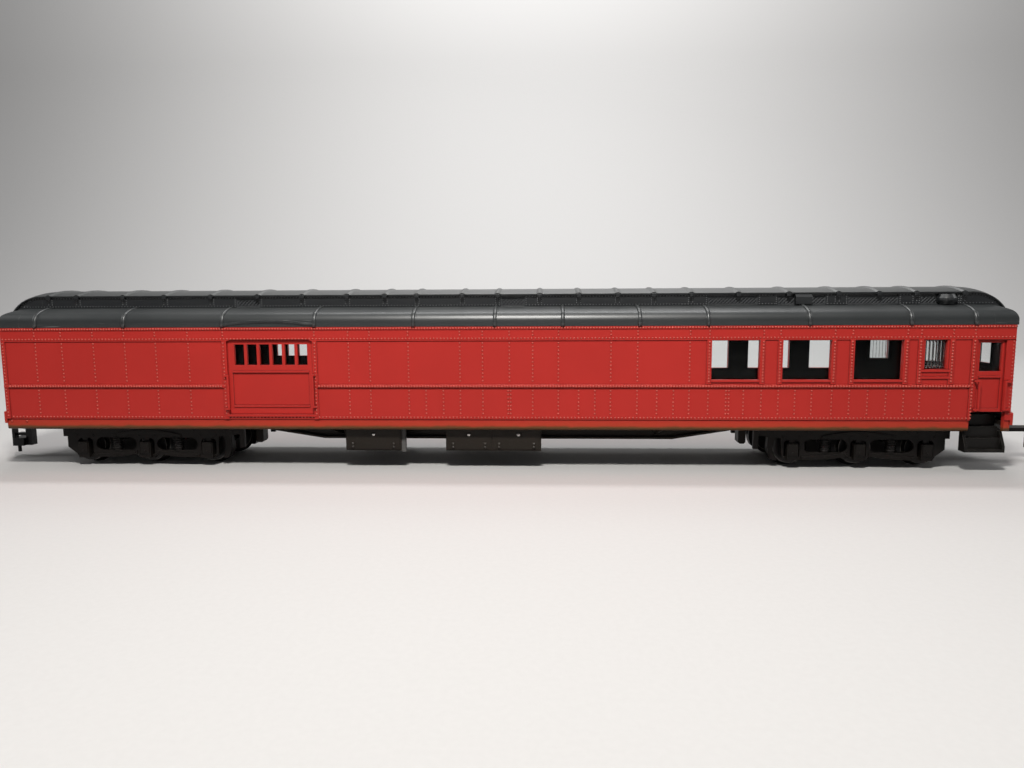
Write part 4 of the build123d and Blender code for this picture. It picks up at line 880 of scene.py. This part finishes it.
def put_bead(bm, x):
    oval = Matrix.Diagonal((BEAD_HALF * MM, BEAD_PROUD * MM, 1.0, 1.0))
    start = Matrix.Translation(Vector((x, -deck_half, bead_foot)) * MM) @ oval
    first = edges_round(bmesh.ops.create_circle(bm, segments=10, radius=1.0, matrix=start)["verts"])
    raised = bmesh.ops.extrude_edge_only(bm, edges=first)["geom"]
    bmesh.ops.translate(bm, vec=(0, 0, (corner_z - bead_foot) * MM), verts=verts_of(raised))
    low_edges = [e for e in edges_of(raised) if all(v in raised for v in e.verts)]
    corner_centre = Vector((x, CORNER_R - deck_half, corner_z)) * MM
    turned = bmesh.ops.spin(bm, geom=low_edges, cent=corner_centre, axis=(1, 0, 0),
                            angle=-CORNER_TURN, steps=8)["geom_last"]
    top_centre = Vector((x, -CLER_Y, knee_z - TOP_R * math.sin(CORNER_TURN))) * MM
    last = bmesh.ops.spin(bm, geom=edges_of(turned), cent=top_centre, axis=(1, 0, 0),
                          angle=CORNER_TURN - math.radians(90), steps=4)["geom_last"]
    bmesh.ops.holes_fill(bm, edges=first, sides=0)
    bmesh.ops.holes_fill(bm, edges=edges_of(last), sides=0)


def make_beads():
    bm = bmesh.new()
    for x in DECK_RIBS:
        put_bead(bm, x)
    other = bmesh.ops.duplicate(bm, geom=bm.verts[:] + bm.edges[:] + bm.faces[:])["geom"]
    bmesh.ops.scale(bm, vec=(1, -1, 1), verts=verts_of(other))
    bmesh.ops.remove_doubles(bm, verts=bm.verts, dist=1e-6)
    mesh = mesh_from("deck_rib_beads", bm)
    for f in mesh.polygons:
        f.use_smooth = len(f.vertices) == 4
    return mesh


seat_piece("deck_rib_beads", make_beads(), roof_paint)

# %% [markdown]
# Behind each opening in the clerestory is a fine wire screen. The frame has one of few bars; this finer one
# takes its place, with a rim and wires crossing both ways. A wire is a thin block, turned on the slant and
# cut to length where its line meets the rim.

# %% Clerestory wire screens
SCREEN_RIM, FRONT_WIRE, BACK_WIRE, WIRE_PITCH = 0.25, 0.26, 0.14, 1.02
SCREEN_T, FRONT_SHIFT, BACK_SHIFT = 0.30, 0.02, 0.12
screen_mid_z = (screen_low.z + screen_high.z) / 2
screen_half_h = (screen_high.z - screen_low.z) / 2


def slanted_wire(bm, middle, half_w, offset, lean, y, wire):
    # the line x = offset + lean * z, kept inside the opening
    ends = sorted(lean * (edge - offset) for edge in (-half_w, half_w))
    z0, z1 = max(-screen_half_h, ends[0]), min(screen_half_h, ends[1])
    if z1 - z0 < wire:
        return
    z = (z0 + z1) / 2
    centre = (middle + offset + lean * z, y, screen_mid_z + z)
    slant = Matrix.Rotation(-lean * math.pi / 4, 4, "Y")
    put_block(bm, centre, ((z1 - z0) * math.sqrt(2), wire, wire), slant)


def make_screens():
    bm = bmesh.new()
    for side in (-1, 1):
        y = side * (screen_high.y - SCREEN_T / 2)
        for middle, width in SCREENS:
            half_w = width / 2
            for z in (-1, 1):
                put_block(bm, (middle, y, screen_mid_z + z * (screen_half_h - SCREEN_RIM / 2)),
                          (width, SCREEN_T, SCREEN_RIM))
            for x in (-1, 1):
                put_block(bm, (middle + x * (half_w - SCREEN_RIM / 2), y, screen_mid_z),
                          (SCREEN_RIM, SCREEN_T, 2 * screen_half_h - 2 * SCREEN_RIM))
            reach = half_w + screen_half_h
            for offset in evenly(-reach, reach, WIRE_PITCH):
                slanted_wire(bm, middle, half_w - SCREEN_RIM, offset, 1, y + side * FRONT_SHIFT, FRONT_WIRE)
                slanted_wire(bm, middle, half_w - SCREEN_RIM, offset, -1, y - side * BACK_SHIFT, BACK_WIRE)
    return mesh_from("vent_screen_wires", bm)


screens = seat_piece("vent_screen_wires", make_screens(), screen_wire)
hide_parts("vent_screens")

# %% [markdown]
# The lavatory pane is moulded in upright flutes, so that light comes in and sight does not. A grid is pushed
# in and out along a wave, faded to flat towards its top and foot as on the real pane, and given a thickness.
# It stands just outside the frame's plain pane.

# %% Fluted panes
FLUTES, FLUTE_DEPTH, FLUTE_T, FLUTE_LIFT = 6, 0.42, 0.12, 0.05
PANE_MARGIN = 0.92
FADE_FROM, FADE_LENGTH = 0.82, 0.18
STEPS_A_FLUTE, STEPS_UP = 12, 16
lav_low, lav_high = box_mm("lavatory_glass")


def make_flutes():
    bm = bmesh.new()
    glass_y = lav_high.y
    half_w = (lav_high.x - lav_low.x) / 2 - PANE_MARGIN
    half_h = (lav_high.z - lav_low.z) / 2 - PANE_MARGIN
    middle = Vector(((lav_low.x + lav_high.x) / 2, 0, (lav_low.z + lav_high.z) / 2))
    for side in (-1, 1):
        grid = bmesh.ops.create_grid(bm, x_segments=FLUTES * STEPS_A_FLUTE, y_segments=STEPS_UP, size=1.0,
                                     matrix=UPRIGHT)["verts"]
        for v in grid:
            across, up = v.co.x, v.co.z
            faded = max(0.0, abs(up) - FADE_FROM) / FADE_LENGTH
            round_end = math.sqrt(max(0.0, 1.0 - faded ** 2))
            wave = abs(math.sin(math.pi * FLUTES * (across + 1) / 2))
            depth = FLUTE_LIFT + FLUTE_DEPTH * wave * round_end
            v.co = Vector((middle.x + across * half_w, side * (glass_y + depth), middle.z + up * half_h)) * MM
    skin = bm.faces[:]
    bmesh.ops.recalc_face_normals(bm, faces=skin)
    bmesh.ops.solidify(bm, geom=skin, thickness=FLUTE_T * MM)
    return shade_smooth(mesh_from("lavatory_flutes", bm))


seat_piece("lavatory_flutes", make_flutes(), fluted)

# %% [markdown]
# Under the floor, domed screws hold the lids of the battery boxes, and rubbed pins hold their clips. Both are
# the rivet's dome at another size, set in short lists of places.

# %% Screws on the battery boxes
box_low, box_high = box_mm("battery_boxes")
LID_BACK = 0.25
CLIP_Y, LID_Y = box_high.y, box_high.y - LID_BACK
SCREWS_X, SCREW_Z, SCREW_R = (-34.6, -7.3, 6.8), 9.95, 0.60
CLIPS_X, CLIP_PIN_Z, PIN_R = (-40.6, -28.8, -11.8, -2.7, 1.3, 11.15), (6.4, 7.35), 0.30
lid_screws = [((x, -LID_Y, SCREW_Z), (0, -1, 0), SCREW_R) for x in SCREWS_X]
lid_pins = [((x, -CLIP_Y, z), (0, -1, 0), PIN_R) for x in CLIPS_X for z in CLIP_PIN_Z]
set_heads("battery_box_screws", lid_screws + flip_y(lid_screws), steel)
set_heads("battery_box_pins", lid_pins + flip_y(lid_pins), pin_black)

# %% [markdown]
# Dark beams hang under each cross member, as deep as the axles, so that the ovals of a truck show no pale
# floor: painted shade, standing in for the dark under the car. The frame stops at the cross member, so the
# beam is added here, kept clear of the wheels on both sides. Its foot is bevelled like any moulded part.

# %% Inner beams of the trucks
TRUCKS = (("vestibule_truck", 1), ("baggage_truck", -1))
BEAM_HALF, BEAM_Y, BEAM_LOW, BEAM_BEVEL = 3.2, 6.9, 3.0, 0.5
bolster_low, bolster_high = box_mm("vestibule_truck_bolster")


def make_beams(name, flip):
    bm = bmesh.new()
    size = (2 * BEAM_HALF, 2 * BEAM_Y, bolster_low.z - BEAM_LOW)
    for u in (-AXLE_SPACING / 2, AXLE_SPACING / 2):
        put_block(bm, (flip * (TRUCK_X + u), 0, (BEAM_LOW + bolster_low.z) / 2), size)
    low = [e for e in bm.edges if all(v.co.z < (BEAM_LOW + 0.1) * MM for v in e.verts)]
    bmesh.ops.bevel(bm, geom=low, offset=BEAM_BEVEL * MM, segments=2, profile=0.5, affect="EDGES",
                    material=-1)
    return mesh_from(name, bm)


# dark beams that fill the ovals: painted shade
for truck, flip in TRUCKS:
    seat_piece(truck + "_beams", make_beams(truck + "_beams", flip), truck_black, truck)

# %% [markdown]
# The bolts are worked out once, for the near side of the vestibule truck, and flipped. Each is given by its
# distance from an axle or from the truck's middle, its height, how far out its face stands, and its radius.

# %% Bolts and nuts on the trucks
FRAME_Y, BAND_Y, LID_OUT = 12.7, 13.0, 14.0
AXLE_BOLTS = [(0.0, 4.55, LID_OUT, 0.30), (-2.35, 9.0, FRAME_Y, 0.26), (-0.95, 6.75, LID_OUT, 0.18),
              (2.35, 9.0, FRAME_Y, 0.26), (0.95, 6.75, LID_OUT, 0.18)]
FRAME_BOLTS = [(3.6, 3.9, BAND_Y, 0.24), (9.25, 3.15, BAND_Y, 0.24), (14.9, 3.1, BAND_Y, 0.24),
               (9.15, 8.75, FRAME_Y, 0.26)]
TOP_BOLTS_U, TOP_BOLT_Z, TOP_BOLT_R = (-27.8, -25.2, -23.4, -14.0, 13.6, 16.2, 21.4, 23.6), 10.35, 0.24


def truck_places():
    found = [(axle + u, *rest) for axle in (-AXLE_SPACING, 0.0, AXLE_SPACING) for u, *rest in AXLE_BOLTS]
    found += [(s * u, *rest) for s in (-1, 1) for u, *rest in FRAME_BOLTS]
    found += [(u, TOP_BOLT_Z, FRAME_Y, TOP_BOLT_R) for u in TOP_BOLTS_U]
    return [((TRUCK_X + u, -y, z), (0, -1, 0), radius) for u, z, y, radius in found]


truck_bolts = truck_places()
truck_bolts += flip_y(truck_bolts)
for truck, places in (("vestibule_truck", truck_bolts), ("baggage_truck", flip_x(truck_bolts))):
    set_heads(truck + "_bolts", places, truck_black, truck, bolt)

# %% [markdown]
# In each oval of a truck's side frame stands a coil spring, of which the frame has the plain core. The coil
# is a small circle spun about the spring's axis while it climbs: spin's dvec gives the climb of each step, so
# one call makes the whole helix.

# %% Coil springs
COIL_U, COIL_R, COIL_WIRE, COIL_TURNS = 9.15, 1.22, 0.26, 5
COIL_Y, COIL_LOW, COIL_HIGH = 11.8, 4.75, 8.05
STEPS_A_TURN = 14


def make_coils(name, flip):
    bm = bmesh.new()
    steps = COIL_TURNS * STEPS_A_TURN
    climb = (COIL_HIGH - COIL_LOW) / steps
    for side in (-1, 1):
        for u in (-COIL_U, COIL_U):
            x = flip * (TRUCK_X + u)
            start = Matrix.Translation(Vector((x + COIL_R, side * COIL_Y, COIL_LOW)) * MM) @ UPRIGHT
            ring = bmesh.ops.create_circle(bm, segments=6, radius=COIL_WIRE * MM, matrix=start)["verts"]
            foot = edges_round(ring)
            spun = bmesh.ops.spin(bm, geom=foot, cent=Vector((x, side * COIL_Y, 0)) * MM, axis=(0, 0, 1),
                                  dvec=(0, 0, climb * MM), angle=math.radians(360) * COIL_TURNS, steps=steps)
            bmesh.ops.holes_fill(bm, edges=foot, sides=0)
            bmesh.ops.holes_fill(bm, edges=edges_of(spun["geom_last"]), sides=0)
    return shade_smooth(mesh_from(name, bm))


for truck, flip in TRUCKS:
    seat_piece(truck + "_coils", make_coils(truck + "_coils", flip), spring_black, truck)

# %% [markdown]
# The two sample heads have been copied wherever they are needed, so they go.

# %% Put away the sample heads
for sample in (dome, bolt):
    bpy.data.objects.remove(sample)

# %% [markdown]
# The stage is a pale floor that curves up into a pale wall, so that no line shows where they meet. The curve
# is one profile, extruded sideways. The floor lies at the lowest point of the wheel flanges. The Light Path
# node tells who is looking: the camera, a mirror or a pane sees pale paper, but light is scattered from a
# darker one, so that the floor does not light the black trucks from below.

# %% Floor and backdrop
STAGE_NEAR, STAGE_FAR, STAGE_HIGH, STAGE_BEND, STAGE_HALF = -1.6, 0.75, 1.5, 0.35, 2.6
PAPER, PAPER_FIBRE = (0.660, 0.650, 0.640, 1.0), (0.700, 0.690, 0.680, 1.0)
PAPER_SCATTERING = (0.16, 0.155, 0.15, 1.0)


def make_stage():
    floor_z = cad_low.z
    bend_y, bend_z = STAGE_FAR - STAGE_BEND, floor_z + STAGE_BEND
    bm = bmesh.new()
    corner = bmesh.ops.create_vert(bm, co=(-STAGE_HALF, bend_y, floor_z))["vert"][0]
    start = bmesh.ops.create_vert(bm, co=(-STAGE_HALF, STAGE_NEAR, floor_z))["vert"][0]
    bm.edges.new((start, corner))
    bend = bmesh.ops.spin(bm, geom=[corner], cent=(-STAGE_HALF, bend_y, bend_z), axis=(1, 0, 0),
                          angle=math.radians(90), steps=24)
    top = verts_of(bend["geom_last"])[0]
    wall_top = bmesh.ops.create_vert(bm, co=(-STAGE_HALF, STAGE_FAR, STAGE_HIGH))["vert"][0]
    bm.edges.new((top, wall_top))
    swept = bmesh.ops.extrude_edge_only(bm, edges=bm.edges[:])["geom"]
    bmesh.ops.translate(bm, vec=(2 * STAGE_HALF, 0, 0), verts=verts_of(swept))
    return link_mesh("stage_floor", shade_smooth(plain_mesh("stage_floor", bm)))


def make_paper():
    made, tree = new_material("pale_paper")
    ray = add(tree, "ShaderNodeLightPath").outputs
    seen = math_node(tree, "MAXIMUM", ray["Is Camera Ray"], ray["Is Transmission Ray"])
    seen = math_node(tree, "MAXIMUM", seen, ray["Is Glossy Ray"])
    tone = blend_colours(tree, noise(tree, 900.0, 3.0), PAPER, PAPER_FIBRE)
    tone = blend_colours(tree, seen, PAPER_SCATTERING, tone)
    return finish_material(made, {"Base Color": tone}, Roughness=0.85)


floor = make_stage()
floor.data.materials.append(make_paper())

# %% [markdown]
# The photo's light comes from one lamp above the camera, and from the pale room. The lamp is small enough for
# belts and rivets to throw short shadows, and close enough for the ends of the car to be darker than its
# middle. A weak lamp at each end and one behind keep the ends and the far side from going black. The last
# lamp lights only the wall.

# %% Lights
def soft_lamp(name, at, aim, size, watts, colour=(1.0, 1.0, 1.0)):
    lamp = bpy.data.lights.new(name, "AREA")
    lamp.shape = "RECTANGLE"
    lamp.size, lamp.size_y = size
    lamp.energy = watts
    lamp.color = colour
    made = bpy.data.objects.new(name, lamp)
    made.location = at
    made.rotation_euler = (Vector(aim) - Vector(at)).to_track_quat("-Z", "Y").to_euler()
    scene.collection.objects.link(made)


WARM = (1.0, 0.975, 0.94)
soft_lamp("lamp_ceiling", (0.00, -0.205, 0.285), (0.0, -0.01, 0.03), (0.05, 0.04), 0.90, WARM)
soft_lamp("lamp_behind", (0.10, 0.45, 0.55), (0.0, 0.0, 0.03), (0.40, 0.20), 0.48)
for name, x in (("lamp_left", -0.55), ("lamp_right", 0.55)):
    soft_lamp(name, (x, -0.02, 0.30), (x / 4, 0.0, 0.03), (0.20, 0.20), 0.40)
soft_lamp("lamp_backdrop", (0.0, 0.25, 0.75), (0.0, 0.75, 0.35), (0.6, 0.25), 5.8)

SKY_COLOUR, SKY_STRENGTH = (0.95, 0.97, 1.0, 1.0), 0.12
sky = bpy.data.worlds.new("pale_room")
sky.use_nodes = True
background = sky.node_tree.nodes["Background"]
background.inputs["Color"].default_value = SKY_COLOUR
background.inputs["Strength"].default_value = SKY_STRENGTH
scene.world = sky

# %% [markdown]
# The photo was taken from close by with a short lens, low beside the car, so its ends lean away. The camera's
# place and turn were worked out from straight lines, such as those of the car's side.

# %% The camera at the photo's angle
PITCH, ROLL, YAW = 0.1208, 0.0053, 0.0430
CAMERA_AT = (13.757 * MM, -217.697 * MM, 49.004 * MM)
FOCAL_PIXELS, PHOTO_WIDTH, SENSOR_WIDTH = 726.33, 1024, 36.0
camera_data = bpy.data.cameras.new("camera")
camera_data.sensor_width = SENSOR_WIDTH
camera_data.lens = SENSOR_WIDTH * FOCAL_PIXELS / PHOTO_WIDTH
camera_data.clip_start, camera_data.clip_end = 0.005, 20.0
camera = bpy.data.objects.new("camera", camera_data)
turned = Matrix.Rotation(YAW, 3, "Z") @ Matrix.Rotation(-PITCH, 3, "X") @ Matrix.Rotation(ROLL, 3, "Y")
right, forward, up = turned.col[0], turned.col[1], turned.col[2]
facing = Matrix((right, up, -forward)).transposed().to_4x4()
camera.matrix_world = Matrix.Translation(CAMERA_AT) @ facing
scene.collection.objects.link(camera)
scene.camera = camera
scene.view_settings.view_transform = "Standard"
